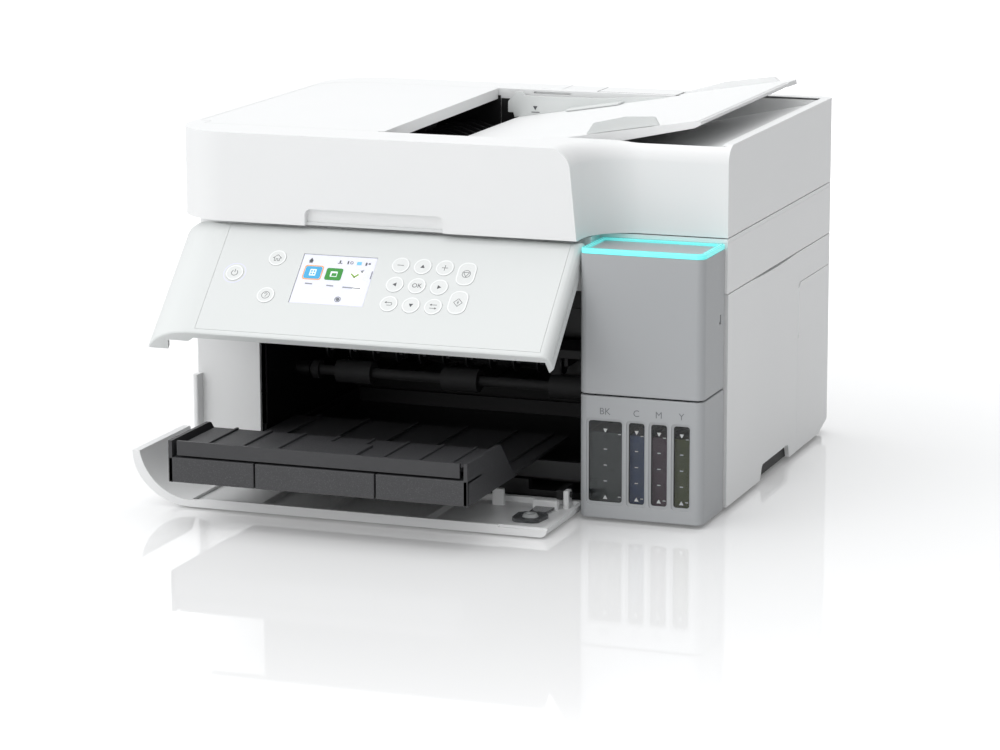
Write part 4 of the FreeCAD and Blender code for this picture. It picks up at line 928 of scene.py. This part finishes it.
    def _tray(self) -> None:
        """Document tray: a wedge with a step along its free edge and a raised rail at its rear."""
        x0, z = TRAY_HINGE[0], TRAY_HINGE[2] + 2.8
        side = [(x0, z - 5.5), (x0 + 130, z - 7.4), (x0 + 196, z - 4.4), (x0 + 201, z - 2.6),
                (x0 + 201, z - 0.8), (x0 + 199.5, z - 0.8), (x0 + 199.0, z), (x0, z)]
        board = plate(side, 59, 270, {3: 1.2}, Axis.Y)
        tail = plate([(x0 + 118, 269), (x0 + 201, 269), (x0 + 204, 292), (x0 + 118, 292)], z - 3.4, z - 0.3,
                     {2: 10.0, 3: 6.0})
        rail = plate([(x0 + 118, z - 1), (x0 + 190, z - 1), (x0 + 186, z + 3.4), (x0 + 150, z + 4.2),
                      (x0 + 122, z + 1)], 286.5, 290, {2: 2.0, 3: 3.0}, Axis.Y)
        groove = block((x0 + 4, x0 + 194), (61.2, 61.8), (z - 0.4, z + 1))
        board = board.join(tail, rail).cut(groove)
        self._slope(board).make("document_tray_board", WHITE, "document_tray", "document_tray", bevel=0.5)

    def _guides(self) -> None:
        """Rear and front edge guides."""
        z = TRAY_HINGE[2] + 2.8
        fence = plate([(-42.5, 224.4), (-38.6, 224.4), (-37.6, 221.0), (-33.5, 221.6), (76, 239.5),
                       (74, 240.2), (26, 237.0), (-28, 236.6), (-29.5, 236.6), (-31.5, 239.2), (-36, 239.2),
                       (-38.6, 236.6), (-42.5, 232.2)], 266, 268.2, {12: 1.0, 0: 0.8, 9: 0.8, 10: 0.8},
                      Axis.Y)
        heel = self._slope(block((6, 46), (254, 267), (z + 0.3, z + 1.6), 0.4))
        fence.join(heel).make("guide_rear_fence", PANEL_WHITE_WITH_PAINTED_SHADE, "guide_rear", "document_guide_rear",
                              bevel=0.35)
        mark = triangle(-21.8, 228.6, 1.9, -90, (265.75, 266.02))
        mark.beside(bar((-24.6, 225.2), (-18.6, 225.2), 0.5, (265.75, 266.02)))
        mark.make("guide_mark", PRINT_AND_SEAM_SHADE_GREY, "guide_rear", slot="white_trim")
        x0 = TRAY_HINGE[0]
        low = plate([(x0 + 122, z + 0.3), (x0 + 172, z + 0.3), (x0 + 170, z + 6.0), (x0 + 150, z + 8.4),
                     (x0 + 128, z + 7.0)], 61, 63.2, {2: 2.0, 3: 2.0, 4: 2.0}, Axis.Y)
        foot = plate([(x0 + 126, 62), (x0 + 168, 62), (x0 + 164, 77), (x0 + 130, 77)], z + 0.3, z + 2.2,
                     {2: 3.0, 3: 3.0})
        self._slope(low.join(foot)).make("guide_front_fence", PANEL_WHITE_WITH_PAINTED_SHADE, "guide_front",
                                         "document_guide_front", bevel=0.4)


# ---------------------------------------------------------------- control panel
@dataclass
class ControlPanel:
    """Tilting panel: wrapped frame, flush face plate, keys with printed symbols and the lit display."""

    left: float = -187.5
    right: float = 101.8
    bottom: float = 87.0
    top: float = 179.15
    face_left: float = -142.0
    face_right: float = 95.0
    key_radius: float = 6.0
    pitch: float = 15.25
    pad_x: float = -14.8
    pad_z: float = 150.0
    knuckles: Span = (-119.6, 74.4)

    def _out(self, shape: Solid) -> Solid:
        """Swing a shape drawn closed out to the panel's open place."""
        return shape.turn(-PANEL_TILT, "X", PANEL_HINGE)

    def _crest(self) -> Solid:
        """Tool that rounds the panel's upper edge about its hinge line."""
        brick = block((-190, 120), (-1, 7.0), (PANEL_HINGE[2], self.top + 1))
        return brick.cut(drum(Axis.X, (7.0, PANEL_HINGE[2]), 7.0, (-191, 121), sides=72))

    def build(self) -> None:
        """Build the frame, the face, the keys and the display."""
        self._frame()
        self._face()
        self._keys()
        self._display()

    def _frame(self) -> None:
        """Frame that wraps the left corner, with the light strip at its right end."""
        outline = [(self.left, 0), (self.right, 0), (self.right, 14), (96, 21), (self.left, 60)]
        shell = plate(outline, self.bottom, self.top, {0: 42.0, 1: 6.0, 2: 2.0})
        shell.ease(1.4, 3, lambda e: all(v.co.z < self.bottom + 0.1 for v in e.verts))
        room = plate([(self.left + 4.5, 2.6), (98.2, 2.6), (98.2, 61), (self.left + 4.5, 61)],
                     self.bottom + 3, self.top + 1, {0: 37.5})
        behind = block((-190, 190), (21, 70), (self.bottom - 1, self.top + 1))
        hem = plate([(-144, 6), (98, 6), (98, 30), (-170, 30), (-163.5, 10.2), (-149, 10.2)], self.bottom - 1,
                    self.top + 2, {4: 2.0})
        way = block((self.face_left - 0.2, self.face_right + 0.2), (-1, 3), (self.bottom + 3.4, self.top + 1))
        strip = block((self.right - 1.0, self.right + 1), (7.4, 8.2), (self.bottom + 4, self.top - 10))
        shell.cut(room, behind, hem, way, strip, self._crest())
        self._out(shell).make("panel_wrap_frame", PANEL_WHITE_WITH_PAINTED_SHADE, "panel", "panel_frame", bevel=0.35)

    def key_places(self) -> dict[str, Point]:
        """Centres of the round keys, in x and z with the panel closed."""
        places = {"key_power": (-127.6, 136.0), "key_home": (-101.2, 149.8), "key_help": (-100.8, 120.1)}
        rows = (("minus", "up", "plus"), ("left", "ok", "right"), ("back", "down", "swap"))
        for line, names in enumerate(rows):
            for column, name in enumerate(names):
                places["key_" + name] = (self.pad_x + column * self.pitch, self.pad_z - line * self.pitch)
        return places

    def _pills(self) -> dict[str, Point]:
        """Centres of the two tall keys."""
        return {"key_stop": (31.3, 146.3), "key_start": (31.5, 123.9)}

    def _face(self) -> None:
        """Face plate with openings for keys and display, and hinge knuckles behind it."""
        skin = block((self.face_left, self.face_right), (0, 2.5), (self.bottom + 3.6, self.top))
        holes = [drum(Axis.Y, place, self.key_radius + 0.1, (-1, 4)) for place in self.key_places().values()]
        holes += [pad(x, z, 6.4, 9.05, 5.5, (-1, 4)) for x, z in self._pills().values()]
        holes.append(block((-83.7, -31.9), (-1, 4), (115.7, 154.9)))
        skin.cut(*holes)
        knuckles = [drum(Axis.X, (7.0, PANEL_HINGE[2]), 4.4, (x, x + 4), sides=32) for x in self.knuckles]
        webs = [block((x, x + 4), (1.5, 7.0), (PANEL_HINGE[2] - 4.4, PANEL_HINGE[2] + 4))
                for x in self.knuckles]
        bores = [drum(Axis.X, (7.0, PANEL_HINGE[2]), 2.05, (x - 1, x + 5), sides=24) for x in self.knuckles]
        skin.join(*knuckles, *webs).cut(self._crest(), *bores)
        self._out(skin).make("panel_face_plate", PANEL_WHITE_WITH_PAINTED_SHADE, "panel", "panel_face", bevel=0.22)

    def _key(self, name: str, cap: Solid, rim: Solid, symbol: Solid) -> None:
        """One key: its cap, a brighter rim ring on its edge as a painted highlight, and its printed symbol.
        """
        cap.ease(0.35, 3, lambda e: all(v.co.y < 0 for v in e.verts))
        self._out(cap).make(f"{name}_cap", KEY_WHITE, name, name)
        self._out(rim).make(f"{name}_rim", PAINTED_HIGHLIGHT_WHITE, name)
        self._out(symbol).make(f"{name}_symbol", PRINT_AND_SEAM_SHADE_GREY, name)

    def _keys(self) -> None:
        """Round keys, tall keys, and the ring light round the power key."""
        symbols = self._symbols((-0.36, -0.26))
        skirt, edge, radius = (-0.3, 3.5), (-0.42, -0.25), self.key_radius
        for name, place in self.key_places().items():
            # Each rim is a thin brighter ring on the cap's edge: a painted highlight.
            rim = ring(place, radius - 0.05, radius - 0.85, edge, sides=56)
            self._key(name, drum(Axis.Y, place, radius, skirt, sides=56), rim, symbols[name])
        for name, (x, z) in self._pills().items():
            # The tall keys' rims are painted highlights as well.
            rim = pad(x, z, 6.25, 8.9, 5.35, edge).cut(pad(x, z, 5.45, 8.1, 4.6, (-1, 1)))
            self._key(name, pad(x, z, 6.3, 8.95, 5.4, skirt), rim, symbols[name])
        x, z = self.key_places()["key_power"]
        halo = ring((x, z), 7.9, 7.35, (-0.05, 0.4), sides=64)
        lilac = LitSurface("power_ring_lilac", "#dcdcf0", "#d5d5ec", 0.3, glow=0.15, slot="white_trim")
        self._out(halo).make("power_halo", lilac, "panel")

    def _symbols(self, ink: Span) -> dict[str, Solid]:
        """Printed symbol of every key."""
        at = {**self.key_places(), **self._pills()}
        thin = 0.32

        def here(name: str, dx: float = 0.0, dz: float = 0.0) -> Point:
            return at[name][0] + dx, at[name][1] + dz

        def lines(name: str, points: Sequence[Point], closed: bool = False, width: float = thin) -> Solid:
            spots = [here(name, *p) for p in points] + ([here(name, *points[0])] if closed else [])
            return group([bar(a, b, width, ink) for a, b in zip(spots, spots[1:])])

        marks = {
            "key_power": ring(here("key_power"), 2.3, 1.95, ink, (125, 415)).beside(
                bar(here("key_power", 0, 0.4), here("key_power", 0, 2.9), 0.35, ink)),
            "key_home": lines("key_home", [(-2.9, -0.1), (0, 2.5), (2.9, -0.1), (1.8, -0.1), (1.8, -2.3),
                                           (0.6, -2.3), (0.6, -0.7), (-0.6, -0.7), (-0.6, -2.3), (-1.8, -2.3),
                                           (-1.8, -0.1)], True),
            "key_help": ring(here("key_help"), 2.8, 2.5, ink).beside(
                ring(here("key_help", 0, 0.75), 1.05, 0.75, ink, (-60, 180)),
                bar(here("key_help", 0.35, -0.1), here("key_help", 0, -0.85), 0.3, ink),
                pad(*here("key_help", 0, -1.6), 0.2, 0.2, 0.05, ink)),
            "key_minus": bar(here("key_minus", -2.3), here("key_minus", 2.3), 0.35, ink),
            "key_plus": bar(here("key_plus", -2.1), here("key_plus", 2.1), 0.35, ink).beside(
                bar(here("key_plus", 0, -2.1), here("key_plus", 0, 2.1), 0.35, ink)),
            "key_up": triangle(*here("key_up", 0, -0.2), 1.7, 90, ink),
            "key_down": triangle(*here("key_down", 0, 0.2), 1.7, -90, ink),
            "key_left": triangle(*here("key_left", 0.2), 1.7, 180, ink),
            "key_right": triangle(*here("key_right", -0.2), 1.7, 0, ink),
            "key_ok": lettering("OK", 4.6, *here("key_ok")[:1], -0.27, here("key_ok")[1], 0.08),
            "key_back": lines("key_back", [(-2.2, 1.0), (1.2, 1.0)]).beside(
                lines("key_back", [(-1.2, -1.1), (1.2, -1.1)]),
                ring(here("key_back", 1.2, -0.05), 1.2, 0.9, ink, (-90, 90)),
                triangle(*here("key_back", -2.1, 1.0), 0.95, 180, ink)),
            "key_swap": lines("key_swap", [(-1.2, 1.3), (2.3, 1.3)]).beside(
                lines("key_swap", [(-2.3, -1.3), (1.2, -1.3)]),
                triangle(*here("key_swap", -1.7, 1.3), 0.9, 180, ink),
                triangle(*here("key_swap", 1.7, -1.3), 0.9, 0, ink)),
            "key_stop": ring(here("key_stop"), 2.9, 2.6, ink).beside(
                lines("key_stop", [(-2.0, 1.2), (2.0, 1.2), (0, -2.2)], True)),
            "key_start": lines("key_start", [(0, 3.0), (2.9, 0), (0, -3.0), (-2.9, 0)], True).beside(
                lines("key_start", [(0.5, 1.4), (-0.6, 0), (0.6, 0), (-0.5, -1.4)], width=0.28)),
        }
        return marks

    def _display(self) -> None:
        """Display glass, its lit screen and the pictograms on it."""
        glass = block((-83.45, -32.15), (0.3, 5.6), (115.95, 154.65))
        backlight = LitSurface("display_backlight", "#e3e5f3", "#e8e8f6", 0.12, glow=0.1,
                               slot="display_screen")
        self._out(glass).make("display_screen", backlight, "panel", "display", bevel=0.3)
        flat, over, top = (0.2, 0.31), (0.12, 0.24), (0.06, 0.16)

        def show(name: str, shape: Solid, colour: str, glow: float = 0.12) -> None:
            lit = LitSurface("display_" + name, colour, colour, 0.2, glow=glow, slot="display_screen")
            self._out(shape).make("display_" + name, lit, "panel")

        cloud = ring((-67.5, 120.5), 8.6, 0.05, flat, (8, 172), 60)
        cloud.beside(ring((-35.2, 128.0), 8.0, 0.05, flat, (92, 246), 60))
        show("soft_circles", cloud, "#ffffff", 0.2)
        show("tile_outline", pad(-73.6, 140.4, 6.6, 5.6, 1.8,
                                 over).cut(pad(-73.6, 140.4, 6.05, 5.05, 1.5, (-1, 1))), "#f0a24a")
        show("tile_blue", pad(-73.6, 140.4, 5.7, 4.7, 1.3, over), "#35a6d8")
        show("tile_green", pad(-58.8, 140.0, 5.7, 4.7, 1.3, over), "#0c8a12")
        show("tile_white", pad(-44.2, 139.4, 5.9, 4.7, 1.3, over), "#ffffff", 0.2)
        pages = pad(-73.6, 140.4, 2.2, 2.6, 0.4,
                    top).cut(*[pad(-73.6 + a, 140.4 + b, 0.55, 0.65, 0.1, (-1, 1)) for a in (-0.9, 0.9)
                               for b in (-1.0, 1.0)])
        frame_mark = pad(-58.8, 140.0, 2.4, 2.1, 0.3, top).cut(pad(-58.5, 139.6, 1.7, 1.2, 0.2, (-1, 1)))
        show("tile_pictures", pages.beside(frame_mark), "#e6f4f4", 0.2)
        leaf = bar((-47.0, 141.2), (-43.6, 138.2), 1.1,
                   top).beside(bar((-44.6, 138.2), (-41.6, 141.0), 1.4, top))
        show("tile_tools", leaf, "#7fa63a")
        home = triangle(-77.2, 150.2, 1.8, 90, over).beside(pad(-77.2, 149.0, 1.15, 1.0, 0.1, over))
        icons = [pad(-57.0, 150.2, 0.5, 1.0, 0.2, over), bar((-58.6, 148.8), (-55.4, 148.8), 0.35, over),
                 pad(-51.4, 149.8, 0.45, 1.3, 0.1, over), ring((-48.9, 149.8), 1.1, 0.75, over, sides=20),
                 pad(-38.6, 149.4, 0.6, 1.2, 0.2, over), pad(-36.4, 149.8, 0.7, 0.6, 0.2, over)]
        show("status_marks", home.beside(*icons), "#55585c", 0.05)
        show("status_blue", pad(-43.6, 149.6, 1.6, 1.2, 0.3, over), "#6cc3e8")
        captions = [bar((-76.6, 131.6), (-71.6, 131.4), 0.8, over),
                    bar((-61.4, 131.0), (-56.6, 130.8), 0.8, over),
                    bar((-50.0, 130.4), (-37.4, 130.0), 0.8, over)]
        show("captions", group(captions), "#8b8f96", 0.05)
        dial = ring((-50.6, 120.6), 2.1, 1.75, over, sides=28)
        dial.beside(ring((-50.6, 120.6), 1.3, 0.05, over, sides=20),
                    bar((-32.9, 144), (-32.9, 138), 0.6, over))
        show("round_mark", dial, "#6d7178", 0.05)
        show("corner_fold", triangle(-39.9, 143.4, 1.6, 45, top), "#7d8187", 0.05)


# ---------------------------------------------------------------- lower front cover
@dataclass
class FrontCover:
    """Lower front cover, drawn closed and dropped open about its hinge."""

    right: float = 100.5
    rim: float = 6.0
    low: float = 4.0
    high: float = 83.0
    lugs: Span = (-128.6, 88.4)

    def _down(self, shape: Solid) -> Solid:
        """Drop a shape drawn closed to the cover's open place."""
        return shape.turn(90.0, "X", COVER_HINGE)

    def build(self) -> None:
        """Build the dish with its ribs and lugs, and the clear stay."""
        outer = plate([(-187.5, 0), (self.right, 0), (self.right, self.rim), (-120.0, self.rim), (-120.0, 35),
                       (-187.5, 35)], self.low, self.high, {0: 42.0, 1: 4.4})
        core = drum(Axis.Z, (-145.5, 42.0), 37.5, (self.low - 3, self.high + 3), sides=120)
        beyond = block((-145.6, -119), (self.rim, 40), (self.low - 3, self.high + 3))
        room = plate([(-146.5, 2.4), (self.right - 3.4, 2.4), (self.right - 3.4, 40), (-146.5, 40)],
                     self.low + 4, self.high - 3.2, {1: 2.0})
        slim = block((68.0, self.right + 1), (self.rim - 1.4, 8), (self.high - 1.6, self.high + 1))
        shell = outer.cut(core, beyond, room, slim)
        ribs = []
        for x in (-99.4, -53.9, 15.4):
            ribs.append(plate([(x - 1.2, 1.5), (x + 5.0, 1.5), (x + 1.4, self.rim - 1.0),
                               (x + 0.2, self.rim - 1.0)], self.low + 3, self.high - 2.4))
        lugs = [block((x, x + 4), (1.5, 14.4), (9.0, 16.2), 1.0) for x in self.lugs]
        post = block((41, 49), (1.5, 13.5), (17.4, 20.6), 0.8)
        clamp = block((69.5, 86.5), (1.5, 8.6), (17.2, 22.4), 1.0)
        hem = block((-190, 120), (-1, 11.4), (self.low - 1,
                                              12.6)).cut(drum(Axis.X, (11.4, 12.6), 11.4, (-191, 121),
                                                              sides=96))
        bores = [drum(Axis.X, (11.4, 12.6), 2.05, (x - 1, x + 5), sides=24) for x in self.lugs]
        shell.join(*ribs, *lugs, post, clamp).cut(hem, *bores)
        self._down(shell).make("front_cover_dish", WHITE, "front_cover", "front_cover", bevel=0.5)
        self._stay()

    def _stay(self) -> None:
        """Smoky clear stay with its frosted boss and the arm up to the clamp."""
        foot = plate([(67.5, 44), (71, 40.5), (85, 40.5), (88.5, 44), (86.5, 58), (83, 60.5), (71, 60.5),
                      (68, 57)], 2.6, 5.2, {i: 1.5 for i in range(8)}, Axis.Y)
        foot.cut(drum(Axis.Y, (78.2, 50.5), 6.4, (3.9, 6)))
        arm = plate([(73, 41.5), (83.5, 41.5), (85, 22.6), (72, 22.6)], 3.0, 4.6, axis=Axis.Y)
        self._down(foot.join(arm)).make("cover_stay_arm", SMOKE, "front_cover", bevel=0.4)
        boss = drum(Axis.Y, (78.2, 50.5), 5.6, (3.9, 6.8), end_radius=4.2)
        boss.cut(drum(Axis.Y, (78.2, 50.5), 2.2, (6.0, 8)))
        self._down(boss).make("cover_stay_boss", BOSS_CLEAR, "front_cover", bevel=0.5)


# ---------------------------------------------------------------- paper path
@dataclass
class PaperPath:
    """Dark trays, and the parts seen through the paper opening."""

    left: float = -139.0
    right: float = 65.0
    front: float = -106.0
    low: float = 29.4
    lip: float = 45.6
    upper: float = 56.3
    joints: tuple[float, float] = (-79.9, 3.5)

    def build(self) -> None:
        """Build the output tray, its sliding middle and the dressing inside."""
        self._tray()
        self._extension()
        self._inside()

    def _face(self, x: Span) -> Solid:
        """One part of the tray's lower front face, with its shelf."""
        f = self.front
        face = plate([(f, self.low), (f + 2.5, self.low), (f + 2.5, self.lip - 2.2), (f + 26, self.lip - 2.2),
                      (f + 26, self.lip), (f, self.lip)], x[0], x[1], axis=Axis.X)
        return face

    def _tray(self) -> None:
        """Tray body: cheeks, floor, board and the two outer front faces."""
        f = self.front
        line = [(f, self.low), (-14, self.low), (-21, self.low + 2.4), (f + 60, self.upper + 0.2),
                (f, self.upper + 0.2)]
        cheeks = [plate(line, x, x + 2.5, {3: 5.0}, Axis.X) for x in (self.left, self.right - 2.5)]
        floor = block((self.left + 2, self.right - 2), (f + 1, 95), (self.low, self.low + 2))
        runners = [block((x, x + 2.6), (-16, 94.6), (self.low + 1, self.low + 3.6))
                   for x in (-120, -84, -48, -12, 24, 50)]
        board = plate([(f + 1, 47), (f + 3.5, 47), (f + 3.5, 50.5), (f + 58, 50.5), (f + 81, self.low + 1),
                       (f + 85, self.low + 1), (f + 60, 53), (f + 3.5, 53), (f + 3.5, self.upper),
                       (f + 1, self.upper)], self.left + 5.5, self.right - 5.5, {6: 4.0}, Axis.X)
        slats = [block((x, x + 2.2), (f + 8, f + 59), (52.4, 54.2), 0.5)
                 for x in (-118, -94, -70, -46, -22, 2, 26, 48)]
        stop = plate([(-62, 52.5), (-14, 52.5), (-14, 54.6), (-62, 54.6)], f + 6, f + 40, axis=Axis.Y)
        body = floor.join(*runners, board, *cheeks).join(*slats, stop.ease(0.6))
        way = block((self.joints[0] + 0.2, self.joints[1] - 0.2), (f - 1, f + 3),
                    (self.low - 1, self.lip + 1))
        body.cut(way)
        body.make("output_tray_body", TRAY, "output_tray", "output_tray", bevel=0.45)
        outer = self._face((self.left, self.joints[0])).beside(self._face((self.joints[1], self.right)))
        outer.make("output_tray_faces", TRAY_FACE, "output_tray", bevel=0.5)

    def _extension(self) -> None:
        """Middle face that pulls out with its runner."""
        middle = self._face((self.joints[0] + 1.0, self.joints[1] - 1.0))
        runner = block((-70, -6), (self.front + 2, self.front + 74), (self.low + 2.4, self.low + 4.4))
        slots = [block((x, x + 3), (self.front + 12, self.front + 66), (self.low, self.low + 8))
                 for x in (-60, -44, -35, -19)]
        middle.join(runner.cut(*slots)).make("tray_extension_slide", TRAY_FACE, "tray_extension",
                                             "tray_extension", bevel=0.5)

    def _inside(self) -> None:
        """Toothed belt, star wheels and paper guides in the black bay."""
        belt = block((-136, 96), (191.6, 192.8), (95, 101))
        belt.make("carriage_belt", ROLLER, "chassis")
        wheels = [drum(Axis.X, (108.0, 78.0), 7.2, (x, x + 1.2), sides=28) for x in range(-116, 88, 17)]
        group(wheels).make("star_wheels", DARK, "chassis", bevel=0.15, slot="black_plastic")
        bridge = plate([(96, 84), (120, 84), (120, 90), (102, 96), (96, 90)], -138, 98, axis=Axis.X)
        combs = [block((x, x + 3), (98, 118), (78, 86)) for x in range(-112, 88, 17)]
        bridge.join(*combs).make("wheel_bridge", BLACK, "chassis", bevel=0.4)
        beam = block((-139.5, 100), (60, 66), (126, 139), 0.6)
        beam.join(*[block((x, x + 3), (65, 78), (120, 138)) for x in range(-130, 96, 24)])
        beam.make("bay_front_beam", BLACK, "chassis", bevel=0.3)


# ---------------------------------------------------------------- dressing of the CAD
def dress_frame() -> None:
    """Give every CAD node that stays visible its finish, and add the parts inside the body."""
    finishes = {
        BLACK: ("paper_bay", "base_pan", "platen", "scan_bar", "mains_inlet"),
        DARK: ("top_deck", "print_carriage", "paper_cassette", "cassette_guide", "panel_back",
               "tank_cap_black", "tank_cap_cyan", "tank_cap_magenta", "tank_cap_yellow"),
        FEET: ("rubber_feet",), STEEL: ("carriage_rod",), METAL_CASE: ("power_supply",),
        ROLLER: ("feed_roller", "eject_roller", "feeder_roller"), TANK_CLEAR: ("ink_tanks",),
        GLASS: ("scan_glass",), INNER_WHITE: ("lid_base",),
    }
    for finish, names in finishes.items():
        for name in names:
            dress(name, finish)
    board = block((120, 178), (150, 270), (10, 11.6))
    board.make("main_board", BOARD, "chassis", bevel=0.2)
    motor = drum(Axis.X, (240.0, 40.0), 14.0, (110, 140)).ease(1.5, 3)
    motor.make("feed_motor", METAL_CASE, "chassis")


# ---------------------------------------------------------------- studio
@dataclass
class Studio:
    """Floor, lights and the camera."""

    azimuth: float = 20.06
    elevation: float = 11.86
    roll: float = -0.14
    focal: float = 3.57119
    eye: tuple[float, float, float] = (822.75, -2121.61, 565.46)
    dim: float = 0.0
    bright: float = 1.3

    def build(self) -> None:
        """Set up the studio."""
        self._floor()
        self._world()
        self._lights()
        self._camera()
        bpy.context.scene.view_settings.view_transform = "Standard"

    def _floor(self) -> None:
        """Pale glossy floor, whiter towards the distance where the camera sees it."""
        mesh = bmesh.new()
        bmesh.ops.create_grid(mesh, x_segments=1, y_segments=1, size=30.0)
        data = bpy.data.meshes.new("studio_floor")
        mesh.to_mesh(data)
        mesh.free()
        floor = bpy.data.objects.new("studio_floor", data)
        bpy.context.collection.objects.link(floor)
        material = bpy.data.materials.new("glossy_white_floor")
        material.use_nodes = True
        tree = material.node_tree
        shader = tree.nodes["Principled BSDF"]
        for name, value in (("Base Color", linear("#efefef")), ("Roughness", 0.03),
                            ("Specular IOR Level", 1.0), ("Emission Color", linear("#ffffff"))):
            shader.inputs[name].default_value = value
        reach = add(tree, "VectorMath", {"0": add(tree, "TexCoord").outputs["Object"]}, operation="LENGTH")
        away = add(tree, "MapRange", {"Value": reach.outputs["Value"], "From Min": 0.3, "From Max": 1.1,
                                      "To Min": 0.13, "To Max": 0.6}, interpolation_type="SMOOTHSTEP")
        glow = add(tree, "Math", {"0": away.outputs[0], "1": add(tree, "LightPath").outputs["Is Camera Ray"]},
                   operation="MULTIPLY")
        tree.links.new(glow.outputs[0], shader.inputs["Emission Strength"])
        data.materials.append(material)

    def _world(self) -> None:
        """Pale surroundings, brighter above and to the left, that the camera sees as plain white."""
        world = bpy.data.worlds.new("studio_world")
        bpy.context.scene.world = world
        world.use_nodes = True
        tree = world.node_tree
        tree.nodes.clear()
        seen = add(tree, "Background", {"Color": linear("#ffffff"), "Strength": 1.0})
        where = add(tree, "TexCoord")
        lean = add(tree, "VectorMath", {"0": where.outputs["Generated"], "1": (-0.65, -0.1, 0.75)},
                   operation="DOT_PRODUCT")
        level = add(tree, "MapRange", {"Value": lean.outputs["Value"], "From Min": -1.0, "From Max": 1.0,
                                       "To Min": self.dim, "To Max": self.bright})
        fill = add(tree, "Background", {"Color": linear("#f9fafb"), "Strength": level.outputs[0]})
        path = add(tree, "LightPath")
        mix = add(tree, "MixShader", {"Fac": path.outputs["Is Camera Ray"], "1": fill.outputs[0],
                                      "2": seen.outputs[0]})
        tree.links.new(mix.outputs[0], add(tree, "OutputWorld").inputs[0])

    def _lights(self) -> None:
        """Large soft boxes: above, front left and low in front."""
        boxes = (("overhead", (-0.3, 0.0, 2.2), (0.0, 0.0, 0.0), 1.8, 10.0),
                 ("front_left", (-1.3, -2.0, 1.0), (0.0, 0.0, 0.12), 1.2, 5.0),
                 ("low_front", (-0.4, -2.2, 0.25), (-0.05, 0.0, 0.05), 1.0, 4.0))
        for name, place, aim, size, power in boxes:
            light = bpy.data.lights.new(name, "AREA")
            light.size, light.energy = size, power
            lamp = bpy.data.objects.new(name, light)
            lamp.location = place
            lamp.rotation_euler = (Vector(aim) - Vector(place)).to_track_quat("-Z", "Y").to_euler()
            bpy.context.collection.objects.link(lamp)

    def _camera(self) -> None:
        """Long lens from the front right, slightly above."""
        az, el, roll = (math.radians(a) for a in (self.azimuth, self.elevation, self.roll))
        back = Vector((math.sin(az) * math.cos(el), -math.cos(az) * math.cos(el), math.sin(el)))
        right = Vector((math.cos(az), math.sin(az), 0.0))
        up = back.cross(right)
        right, up = (right * math.cos(roll) + up * math.sin(roll),
                     up * math.cos(roll) - right * math.sin(roll))
        lens = bpy.data.cameras.new("studio_camera")
        lens.sensor_width, lens.lens = 36.0, 36.0 * self.focal
        lens.clip_end = 200.0
        camera = bpy.data.objects.new("studio_camera", lens)
        turn = Matrix((right, up, back)).transposed().to_4x4()
        place = Vector((self.eye[0], self.eye[1] + FRONT, self.eye[2])) * MM
        camera.matrix_world = Matrix.Translation(place) @ turn
        bpy.context.collection.objects.link(camera)
        bpy.context.scene.camera = camera


def main() -> None:
    """Build the printer and the studio."""
    logging.basicConfig(level=logging.INFO, format="%(name)s %(message)s")
    dress_frame()
    for part in (Casing(), InkTanks(), Scanner(), Lid(), ControlPanel(), FrontCover(), PaperPath(), Studio()):
        part.build()


if __name__ == "__main__":
    main()
